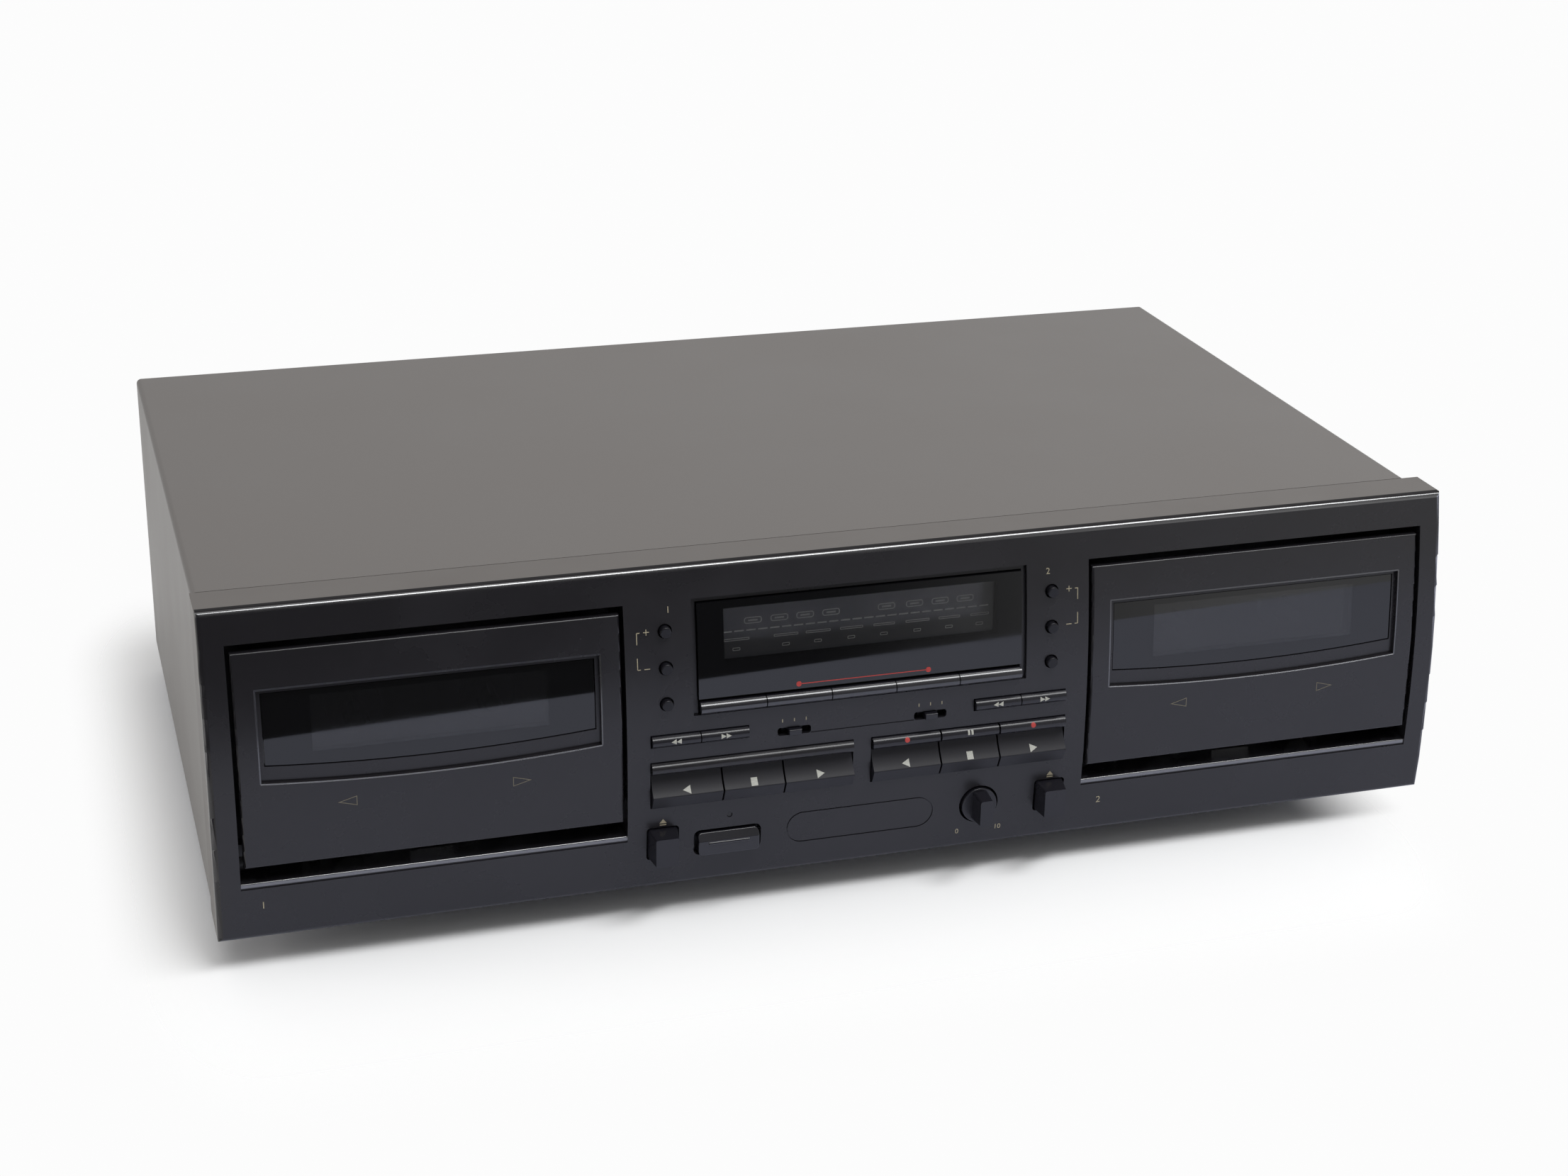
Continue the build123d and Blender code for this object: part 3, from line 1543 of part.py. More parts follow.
# Main board with its soldered parts and the socket block that shows at the back
with BuildPart() as main_board:
    board_level = main_board_height + board_sheet
    block(
        (main_board_left, main_board_right),
        (main_board_front, main_board_back),
        (main_board_height, board_level),
    )
    for across, depth in board_screws:
        post(
            across, depth, (main_board_height, board_level), screw_hole, mode=Mode.SUBTRACT
        )
    for column in range(small_can_counts[0]):
        for row in range(small_can_counts[1]):
            across = main_board_left + small_can_start[0] + small_can_step[0] * column
            depth = main_board_front + small_can_start[1] + small_can_step[1] * row
            post(across, depth, (board_level, board_level + small_can_height), small_can_radius)
    for right, behind, radius, tall in large_cans:
        across = main_board_left + right
        depth = main_board_front + behind
        post(across, depth, (board_level, board_level + tall), radius)
    for right, behind, size in (
        *((right, behind, chip_size) for right, behind in chip_places),
        (*heat_sink_place, heat_sink_size),
    ):
        across = main_board_left + right
        depth = main_board_front + behind
        block(
            (across - size[0] / 2, across + size[0] / 2),
            (depth - size[1] / 2, depth + size[1] / 2),
            (board_level, board_level + size[2]),
        )
    block(
        (socket_columns[0] - socket_block_side, socket_columns[1] + socket_block_side),
        (main_board_back - socket_block_depth, rear_face - fit_gap),
        (board_level - socket_block_root, socket_rows[1] + socket_block_top),
    )
    for across in socket_columns:
        for height in socket_rows:
            rod(across, height, (rear_face - sheet, rear_end), socket_radius)
    sleeve_ends = main_board.faces().filter_by(Axis.Y).group_by(Axis.Y)[-1]
    fillet(sleeve_ends.edges(), radius=socket_round)
    for across in socket_columns:
        for height in socket_rows:
            rod(
                across,
                height,
                (rear_end - socket_bore_depth, rear_end),
                socket_bore,
                mode=Mode.SUBTRACT,
            )
finish(main_board.part, "main_board")

# Transformer on its strap
with BuildPart() as transformer:
    core_low = tray_top + strap_sheet
    half_stack = core_stack / 2
    block(
        (transformer_place - strap_width / 2, transformer_place + strap_width / 2),
        (transformer_depth - half_stack + strap_side, transformer_depth + half_stack - strap_side),
        (tray_top, core_low),
    )
    block(
        (transformer_place - core_width / 2, transformer_place + core_width / 2),
        (transformer_depth - half_stack, transformer_depth + half_stack),
        (core_low, core_low + core_height),
    )
    half_coil = core_width / 2 - coil_side
    coil_depth = half_stack + coil_reach
    block(
        (transformer_place - half_coil, transformer_place + half_coil),
        (transformer_depth - coil_depth, transformer_depth + coil_depth),
        (core_low + coil_end, core_low + core_height - coil_end),
    )
    fillet(transformer.edges().filter_by(Axis.X).sort_by(Axis.Y)[:2], radius=coil_round)
    for across, depth in strap_screws:
        post(across, depth, (tray_top, core_low), screw_hole, mode=Mode.SUBTRACT)
finish(transformer.part, "transformer")

# Cord gland: the bushing in the rear panel where the mains cord would come out
with BuildPart() as cord_gland:
    half_gland = gland_size / 2
    flange_half = half_gland + gland_flange
    block(
        (gland_place - half_gland, gland_place + half_gland),
        (rear_face - gland_body, case_rear),
        (gland_height - half_gland, gland_height + half_gland),
    )
    block(
        (gland_place - flange_half, gland_place + flange_half),
        (case_rear, case_rear + gland_flange_wall),
        (gland_height - flange_half, gland_height + flange_half),
    )
    fillet(cord_gland.faces().sort_by(Axis.Y)[-1].edges(), radius=gland_round)
    rod(
        gland_place,
        gland_height,
        (rear_face - gland_body, case_rear + gland_flange_wall),
        gland_bore,
        mode=Mode.SUBTRACT,
    )
finish(cord_gland.part, "cord_gland")

# Feet: four round feet, hollow below, each with a middle boss for its screw
foot_top = tray_low
with BuildPart() as feet:
    for across, depth in foot_places:
        with BuildSketch(level(foot_top)) as foot_head:
            with Locations((across, depth)):
                Circle(foot_radius)
        with BuildSketch(level(-foot_height)) as foot_sole:
            with Locations((across, depth)):
                Circle(foot_base)
        loft(sections=[foot_sole.sketch, foot_head.sketch])
        post(
            across, depth, (-foot_height, foot_top - foot_wall), foot_base - foot_wall, Mode.SUBTRACT
        )
        post(across, depth, (-foot_height / 2, foot_top), boss_radius + foot_boss_wall)
        post(across, depth, (-foot_height, foot_top), screw_hole, mode=Mode.SUBTRACT)
        post(
            across,
            depth,
            (-foot_height, foot_top - foot_wall - foot_screw_depth),
            screw_head + screw_hole_gap,
            mode=Mode.SUBTRACT,
        )
finish(feet.part, "feet")

# Screws: all of one size, in one group
with BuildPart() as case_screws:
    for across, height in rear_screws:
        start = case_rear + sheet
        rod(across, height, (start, start + screw_head_wall), screw_head)
        rod(across, height, (start - screw_length, start), screw_radius)
    for across, height in low_rear_screws:
        rod(across, height, (case_rear, case_rear + screw_head_wall), screw_head)
        rod(across, height, (case_rear - screw_length, case_rear), screw_radius)
    for across, depth in board_screws:
        post(across, depth, (board_level, board_level + screw_head_wall), screw_head)
        post(across, depth, (board_level - screw_length, board_level), screw_radius)
    for across, depth in strap_screws:
        post(across, depth, (core_low, core_low + screw_head_wall), screw_head)
        post(across, depth, (core_low - screw_length, core_low), screw_radius)
    for across, depth in foot_places:
        seat = foot_top - foot_wall - foot_screw_depth
        post(across, depth, (seat - screw_head_wall, seat), screw_head)
        post(across, depth, (seat, seat + screw_length), screw_radius)
finish(case_screws.part, "case_screws")
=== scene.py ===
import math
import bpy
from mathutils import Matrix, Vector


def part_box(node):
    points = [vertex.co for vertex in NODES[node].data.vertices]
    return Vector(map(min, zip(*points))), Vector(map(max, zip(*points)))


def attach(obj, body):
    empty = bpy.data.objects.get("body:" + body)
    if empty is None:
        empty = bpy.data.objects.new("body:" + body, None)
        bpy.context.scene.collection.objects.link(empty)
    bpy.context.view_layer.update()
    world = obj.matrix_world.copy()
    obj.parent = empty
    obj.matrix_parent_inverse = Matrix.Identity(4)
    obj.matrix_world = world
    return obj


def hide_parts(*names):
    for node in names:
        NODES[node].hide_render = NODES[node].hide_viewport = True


bl_info = {
    "name": "Double Cassette Deck",
    "version": (1, 0, 0),
    "blender": (4, 5, 0),
    "location": "View3D > Sidebar > Cassette Deck",
    "description": "Dresses the frame of a double cassette deck with finishes, "
    "printed marks and small hardware",
    "category": "Object",
}

import bpy
from bpy.props import FloatProperty, FloatVectorProperty, PointerProperty
from mathutils import Matrix, Vector

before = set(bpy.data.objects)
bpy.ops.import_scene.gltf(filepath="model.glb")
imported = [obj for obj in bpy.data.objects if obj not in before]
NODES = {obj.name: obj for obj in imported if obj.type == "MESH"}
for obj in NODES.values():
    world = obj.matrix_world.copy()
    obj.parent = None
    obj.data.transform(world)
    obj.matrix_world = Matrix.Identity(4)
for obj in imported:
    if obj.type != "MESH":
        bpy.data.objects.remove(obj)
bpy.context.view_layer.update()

MM = 0.001

# Height of the panel's lower edge, and depth of its upper front edge, which lies so many mm
# in front of the cover's end
COVER_DEPTH = 237.8
PANEL_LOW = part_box("front_panel")[0][2]
PANEL_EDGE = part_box("top_cover")[1][1] - COVER_DEPTH * MM

# Middle of the two cassette doors, and where the wells round them begin and end, in mm
DECK_CENTRE = 140.55
DECKS = ((1, -DECK_CENTRE), (2, DECK_CENTRE))
WELL = (79.0, 202.0)


def where(width, depth, height):
    """Point in metres from the width, the depth behind the panel's edge and the height, in mm."""
    return Vector((width * MM, PANEL_EDGE + depth * MM, PANEL_LOW + height * MM))


class Signal:
    """A value or a colour inside a finish, used like a number."""

    def __init__(self, finish, socket):
        self.finish = finish
        self.socket = socket

    def join(self, operation, other, swapped=False):
        first, second = (other, self) if swapped else (self, other)
        return self.finish.node("ShaderNodeMath", {"operation": operation}, {0: first, 1: second})

    def __add__(self, other):
        return self.join("ADD", other)

    def __radd__(self, other):
        return self.join("ADD", other, True)

    def __sub__(self, other):
        return self.join("SUBTRACT", other)

    def __rsub__(self, other):
        return self.join("SUBTRACT", other, True)

    def __mul__(self, other):
        return self.join("MULTIPLY", other)

    def __rmul__(self, other):
        return self.join("MULTIPLY", other, True)

    def __truediv__(self, other):
        return self.join("DIVIDE", other)

    def __pow__(self, other):
        return self.join("POWER", other)

    def __abs__(self):
        return self.join("ABSOLUTE", 0.0)

    def least(self, other):
        return self.join("MINIMUM", other)

    def most(self, other):
        return self.join("MAXIMUM", other)

    def rise(self, start, end):
        """Soft step from 0 to 1 between two values."""
        return self.finish.node(
            "ShaderNodeMapRange",
            {"interpolation_type": "SMOOTHSTEP"},
            {"Value": self, "From Min": start, "From Max": end},
        )

    def step(self, place, soft=0.1):
        """0 below a value and 1 above it, with a short soft change."""
        return self.rise(place - soft, place + soft)

    def span(self, low, high, soft=0.1):
        """1 between two values and 0 outside them, with soft ends."""
        return self.step(low, soft) * (1 - self.step(high, soft))


class Finish:
    """The nodes of one material."""

    def __init__(self, name):
        self.material = bpy.data.materials.new(name)
        self.material.use_nodes = True
        self.tree = self.material.node_tree
        self.tree.nodes.clear()

    @classmethod
    def of_tree(cls, tree):
        """The same for the nodes of the room's light."""
        finish = cls.__new__(cls)
        finish.tree = tree
        finish.tree.nodes.clear()
        return finish

    def node(self, kind, settings=None, values=None, output=0):
        made = self.tree.nodes.new(kind)
        for key, value in (settings or {}).items():
            setattr(made, key, value)
        for key, value in (values or {}).items():
            socket = made.inputs[key]
            if isinstance(value, Signal):
                self.tree.links.new(value.socket, socket)
            else:
                socket.default_value = value
        return Signal(self, made.outputs[output]) if made.outputs else None

    def place(self):
        """Width, depth and height of the point in millimetres."""
        point = self.node("ShaderNodeTexCoord", output="Object")
        split = self.node("ShaderNodeSeparateXYZ", values={0: point})
        parts = [Signal(self, socket) for socket in split.socket.node.outputs]
        return [part / MM for part in parts]

    def noise(self, per_mm, detail=3.0, roughness=0.55, stretch=(1, 1, 1)):
        """Noise with so many features to a millimetre, stretched along the axes."""
        point = self.node("ShaderNodeTexCoord", output="Object")
        scaled = self.node("ShaderNodeMapping", values={"Vector": point, "Scale": stretch})
        return self.node(
            "ShaderNodeTexNoise",
            values={
                "Vector": scaled,
                "Scale": per_mm / MM,
                "Detail": detail,
                "Roughness": roughness,
            },
        )

    def mix(self, amount, first, second):
        """Colour that goes from the first to the second."""
        return self.node(
            "ShaderNodeMix",
            {"data_type": "RGBA"},
            {0: amount, 6: colour4(first), 7: colour4(second)},
            output=2,
        )

    def blend(self, amount, first, second):
        """Shader that goes from the first to the second."""
        return self.node("ShaderNodeMixShader", values={0: amount, 1: first, 2: second})

    def grey(self, level):
        """Grey colour of that level."""
        return self.node("ShaderNodeCombineColor", values={0: level, 1: level, 2: level})

    def mottle(self, colour):
        """Slow variation over a moulding, and the colour that varies with it."""
        cloud = self.noise(0.03, 5.0)
        return cloud, self.mix(cloud.rise(0.3, 0.75), shade(colour, 0.9), shade(colour, 1.12))

    def bump(self, height, strength, distance):
        """Normal of a relief so many mm deep."""
        return self.node(
            "ShaderNodeBump",
            values={"Height": height, "Strength": strength, "Distance": distance * MM},
        )

    def surface(self, values, painted_shade=None):
        """Ends the finish in a surface with these settings, and lays a matt black painted shade where a
        mask is given.
        """
        shader = self.node("ShaderNodeBsdfPrincipled", values=values)
        if painted_shade:
            # Matt, almost unreflecting black that stands in for shade
            matt = self.node(
                "ShaderNodeBsdfPrincipled",
                values={"Base Color": (0.012, 0.011, 0.012, 1.0), "Roughness": 0.6, "IOR": 1.15},
            )
            shader = self.blend(painted_shade, shader, matt)
        self.node("ShaderNodeOutputMaterial", values={"Surface": shader})
        return self.material


def colour4(colour):
    """A colour with its alpha, or a signal as it is."""
    if isinstance(colour, Signal):
        return colour
    return (colour[0], colour[1], colour[2], 1.0)


def shade(colour, amount):
    """A colour made lighter or darker by a factor."""
    return tuple(min(1.0, part * amount) for part in colour)


def painted_sheet(name, colour, roughness, grain, depth):
    """Baked paint with a fine orange-peel grain and faint handling marks."""
    finish = Finish(name)
    peel = finish.noise(grain, 2.0)
    cloud = finish.noise(0.012, 4.0)
    speck = finish.noise(grain * 2.2, 1.0)
    tint = finish.mix(cloud.rise(0.3, 0.7), shade(colour, 0.95), shade(colour, 1.05))
    tint = finish.mix(speck.rise(0.42, 0.72) * 0.35, tint, shade(colour, 1.35))
    return finish.surface({
        "Base Color": tint,
        "Roughness": roughness + cloud.rise(0.2, 0.8) * 0.06,
        "Normal": finish.bump(peel, 0.35, depth),
    })


def moulded_plastic(name, colour, roughness, grain=3.0, depth=0.012, index=1.43):
    """Moulded plastic with a spark-eroded grain, faint mottling and soft wear."""
    finish = Finish(name)
    spark = finish.noise(grain, 3.0)
    cloud, tint = finish.mottle(colour)
    return finish.surface({
        "Base Color": tint,
        "Roughness": roughness + cloud.rise(0.35, 0.8) * 0.07,
        "Normal": finish.bump(spark, 0.3, depth),
        "IOR": index,
    })


def bare_metal(name, colour, roughness, stretch=(1, 0.08, 1)):
    """Plated or rolled metal, its grain drawn out along the axis with a low stretch."""
    finish = Finish(name)
    lines = finish.noise(1.6, 3.0, 0.6, stretch)
    cloud = finish.noise(0.05, 3.0)
    tint = finish.mix(cloud.rise(0.3, 0.7), shade(colour, 0.9), colour)
    return finish.surface({
        "Base Color": tint,
        "Metallic": 1.0,
        "Roughness": roughness + lines * 0.16,
        "Normal": finish.bump(lines, 0.15, 0.02),
    })


def coat(nodes, material):
    """Gives the frame's nodes a finish."""
    for name in nodes:
        for slot in NODES[name].material_slots:
            slot.material = material


def deselect():
    """Leaves nothing selected."""
    bpy.ops.object.select_all(action="DESELECT")


def only(piece):
    """Makes a piece the only selected and the active one."""
    deselect()
    piece.select_set(True)
    bpy.context.view_layer.objects.active = piece


def bake_place(piece):
    """Moves a piece's place, turn and scale into its mesh."""
    only(piece)
    bpy.ops.object.transform_apply(location=True, rotation=True, scale=True)


def join_pieces(pieces, name):
    """Joins loose shapes into one named piece."""
    only(pieces[0])
    for piece in pieces:
        piece.select_set(True)
    if len(pieces) > 1:
        bpy.ops.object.join()
    joined = bpy.context.view_layer.objects.active
    joined.name = name
    joined.data.name = name
    return joined


def edit(piece, mode="FACE"):
    """Opens a piece in edit mode with everything deselected."""
    only(piece)
    bpy.ops.object.mode_set(mode="EDIT")
    bpy.ops.mesh.select_mode(type=mode)
    bpy.ops.mesh.select_all(action="DESELECT")


def done():
    """Leaves edit mode."""
    bpy.ops.object.mode_set(mode="OBJECT")


def bevel_end(piece, way, size, segments):
    """Bevels the edge of the end face that looks up (1) or down (-1)."""
    edit(piece)
    done()
    for face in piece.data.polygons:
        face.select = face.normal.z * way > 0.9
    bpy.ops.object.mode_set(mode="EDIT")
    bpy.ops.mesh.bevel(offset=size * MM, segments=segments, affect="EDGES")
    done()


# Depth at which the flat shapes for printing stand upright, in front of the deck, in mm
PRINT_PLANE = -60.0


def flat_panel(width, height, size, corner=0.0, outline=0.0):
    """Flat rectangle, with rounded corners and hollowed to an outline where asked."""
    deselect()
    bpy.ops.mesh.primitive_plane_add(
        size=1.0, location=where(width, PRINT_PLANE, height), rotation=(math.pi / 2, 0, 0)
    )
    shape = bpy.context.active_object
    shape.scale = (size[0] * MM, size[1] * MM, 1)
    bake_place(shape)
    if corner:
        edit(shape, "VERT")
        bpy.ops.mesh.select_all(action="SELECT")
        bpy.ops.mesh.bevel(offset=corner * MM, segments=4, affect="VERTICES")
        done()
    if outline:
        hollow(shape, outline)
    return shape


def flat_round(width, height, radius, sides=24, turn=0.0, stretch=(1, 1), outline=0.0):
    """Flat regular shape: a dot with many sides, or a triangle with three."""
    deselect()
    bpy.ops.mesh.primitive_circle_add(
        vertices=sides,
        radius=1.0,
        fill_type="NGON",
        location=where(width, PRINT_PLANE, height),
        rotation=(math.pi / 2, -turn, 0),
    )
    shape = bpy.context.active_object
    shape.scale = (radius * stretch[0] * MM, radius * stretch[1] * MM, 1)
    bake_place(shape)
    if outline:
        hollow(shape, outline)
    return shape


def hollow(shape, line):
    """Leaves only a line of that width along the edge of a flat shape."""
    edit(shape)
    bpy.ops.mesh.select_all(action="SELECT")
    bpy.ops.mesh.inset(thickness=line * MM, use_even_offset=True)
    bpy.ops.mesh.delete(type="FACE")
    done()


def arrow(width, height, length, base, direction, outline=0.0):
    """Flat triangle that points left (-1), right (1) or up (0)."""
    turn = -direction * math.pi / 2
    return flat_round(width, height, 1.0, 3, turn, (base / 1.732, length / 1.5), outline)


def figure(words, width, height, size):
    """Plain number as a flat shape."""
    deselect()
    bpy.ops.object.text_add(location=(0, 0, 0))
    shape = bpy.context.active_object
    shape.data.body = words
    shape.data.size = size * MM
    shape.data.align_x = "CENTER"
    shape.data.align_y = "CENTER"
    shape.data.resolution_u = 4
    bpy.ops.object.convert(target="MESH")
    shape = bpy.context.active_object
    shape.location = where(width, PRINT_PLANE, height)
    shape.rotation_euler = (math.pi / 2, 0, 0)
    bake_place(shape)
    return shape


def print_on(shapes, name, node, body, material, thickness=0.03, cuts=0):
    """Lays flat shapes on a node of the frame as a thin film of ink, cut finely where it curves."""
    film = join_pieces(shapes, name)
    film.data.materials.clear()
    film.data.materials.append(material)
    if cuts:
        edit(film)
        bpy.ops.mesh.select_all(action="SELECT")
        bpy.ops.mesh.quads_convert_to_tris()
        bpy.ops.mesh.subdivide(number_cuts=cuts)
        done()
    only(film)
    wrap = film.modifiers.new("Wrap", "SHRINKWRAP")
    wrap.target = NODES[node]
    wrap.wrap_method = "PROJECT"
    wrap.use_project_y = True
    wrap.use_positive_direction = True
    wrap.use_negative_direction = False
    wrap.wrap_mode = "ABOVE_SURFACE"
    wrap.offset = thickness * MM
    bpy.ops.object.modifier_apply(modifier="Wrap")
    thick = film.modifiers.new("Ink", "SOLIDIFY")
    thick.thickness = thickness * MM
    thick.offset = 0.0
    bpy.ops.object.modifier_apply(modifier="Ink")
    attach(film, body)


def ink(name, colour):
    """Printing ink, slightly worn where the film is thin."""
    finish = Finish(name)
    wear = finish.noise(2.5, 3.0).rise(0.35, 0.7)
    return finish.surface({
        "Base Color": finish.mix(wear, shade(colour, 0.82), colour),
        "Roughness": 0.5 + wear * 0.08,
    })


def colour_setting(name, description, default):
    """Colour that a user can change."""
    return FloatVectorProperty(
        name=name, description=description, subtype="COLOR", default=default, min=0.0, max=1.0
    )


def length_setting(name, description, default, least, most):
    """Length that a user can change, given in mm."""
    return FloatProperty(
        name=name,
        description=description,
        subtype="DISTANCE",
        unit="LENGTH",
        default=default * MM,
        min=least * MM,
        max=most * MM,
    )


class DeckFinishes(bpy.types.PropertyGroup):
    cover: colour_setting("Cover", "Colour of the painted top cover", (0.079, 0.070, 0.064))
    panel: colour_setting("Panel", "Colour of the moulded front panel", (0.0122, 0.0114, 0.0136))
    door: colour_setting("Doors", "Colour of the cassette doors", (0.0120, 0.0112, 0.0134))
    keys: colour_setting("Keys", "Colour of the keys, buttons and knob", (0.0098, 0.0094, 0.0128))
    inside: colour_setting("Inside", "Colour of the mouldings inside the wells", (0.010, 0.010, 0.011))
    lettering: colour_setting(
        "Panel print", "Colour of the printed marks on the panel", (0.33, 0.29, 0.20)
    )
    symbols: colour_setting("Key print", "Colour of the printed marks on the keys", (0.42, 0.42, 0.38))
    accent: colour_setting("Red print", "Colour of the red marks", (0.42, 0.035, 0.03))


class DeckMarks(bpy.types.PropertyGroup):
    symbol_length: length_setting(
        "Symbol length", "Length of the triangles on the large keys", 2.6, 0.5, 8.0
    )
    symbol_height: length_setting("Symbol height", "Height of the marks on the large keys", 2.3, 0.5, 8.0)
    line: length_setting("Line width", "Width of the printed lines", 0.28, 0.1, 1.0)


class DeckStage(bpy.types.PropertyGroup):
    lamp: FloatProperty(
        name="Main lamp",
        description="Power of the large lamp above the deck",
        subtype="POWER",
        unit="POWER",
        default=14.0,
        min=0.0,
        max=200.0,
    )
    room: FloatProperty(
        name="Room light",
        description="Strength of the light from all round",
        default=0.55,
        min=0.0,
        max=3.0,
    )
    floor: colour_setting("Floor", "Colour of the floor", (0.94, 0.94, 0.94))
    mirrored: colour_setting(
        "Mirrored floor", "Colour of the floor where the front mirrors it", (0.80, 0.83, 1.0)
    )


# Where the camera stood: its place from the panel in mm, its heading, tilt and roll in radians, and
# its lens in pixels of the picture
CAMERA_PLACE = (-258.6, -745.4, 415.9)
CAMERA_HEADING = 0.3045960
CAMERA_TILT = 0.3701651
CAMERA_ROLL = 0.0175143
FOCAL_PIXELS = 3721.5
IMAGE_WIDTH = 2212
IMAGE_HEIGHT = 1659
AXIS_PIXEL = (1112.7, 770.8)
SENSOR = 36.0

# Where the table top's edge runs in front of the panel, in mm, how far it is turned, and half
# the size of the table top, in metres
TABLE_EDGE = (132.0, -372.0)
TABLE_TURN = math.radians(16.0)
TABLE_REACH = 6.0

# Where the table top fades for the eye: the middle and half the size of the patch that stays,
# in mm, and how far in front of it the fade starts and ends. It is quicker beside the deck.
FADE_MIDDLE = -17.0
FADE_HALF = (183.0, 120.0)
FADE = (4.0, 95.0)
FADE_BESIDE = 2.0

# Where the table top ends for all rays, as distances from the middle of the deck, in mm
TABLE_END = (650.0, 1000.0)

# Left of this line the side of the case mirrors the table top, which there glows white for mirrored rays
# by this share: a painted light
SIDE_LINE = -210.0
SIDE_GLOW = 0.3

# Each lamp's place and size in metres, its share of the lamp power, and its tint
LAMPS = (
    ("Main lamp", (-0.1, 0.15, 1.7), (2.0, 2.0), 0.35, (1.0, 0.985, 0.97)),
    ("Strip lamp", (0.45, -0.62, 1.5), (1.3, 0.4), 1.4, (0.98, 0.99, 1.0)),
    ("Side lamp", (-1.7, 0.1, 0.45), (0.9, 0.9), 0.6, (1.0, 0.98, 0.96)),
)
LAMP_AIM = Vector((0, 0, 0.06))

# Levels of the room's light: the dark room in front, the ceiling and the wall to the right. The
# pairs say how far up, to the right and back a direction points where each of them begins and ends.
FRONT_LEVEL = 0.12
CEILING_LEVEL = 0.65
CEILING = (0.1, 0.75)
WALL_LEVEL = 1.5
WALL = (0.28, 0.46)
BEHIND = (0.0, 0.15)


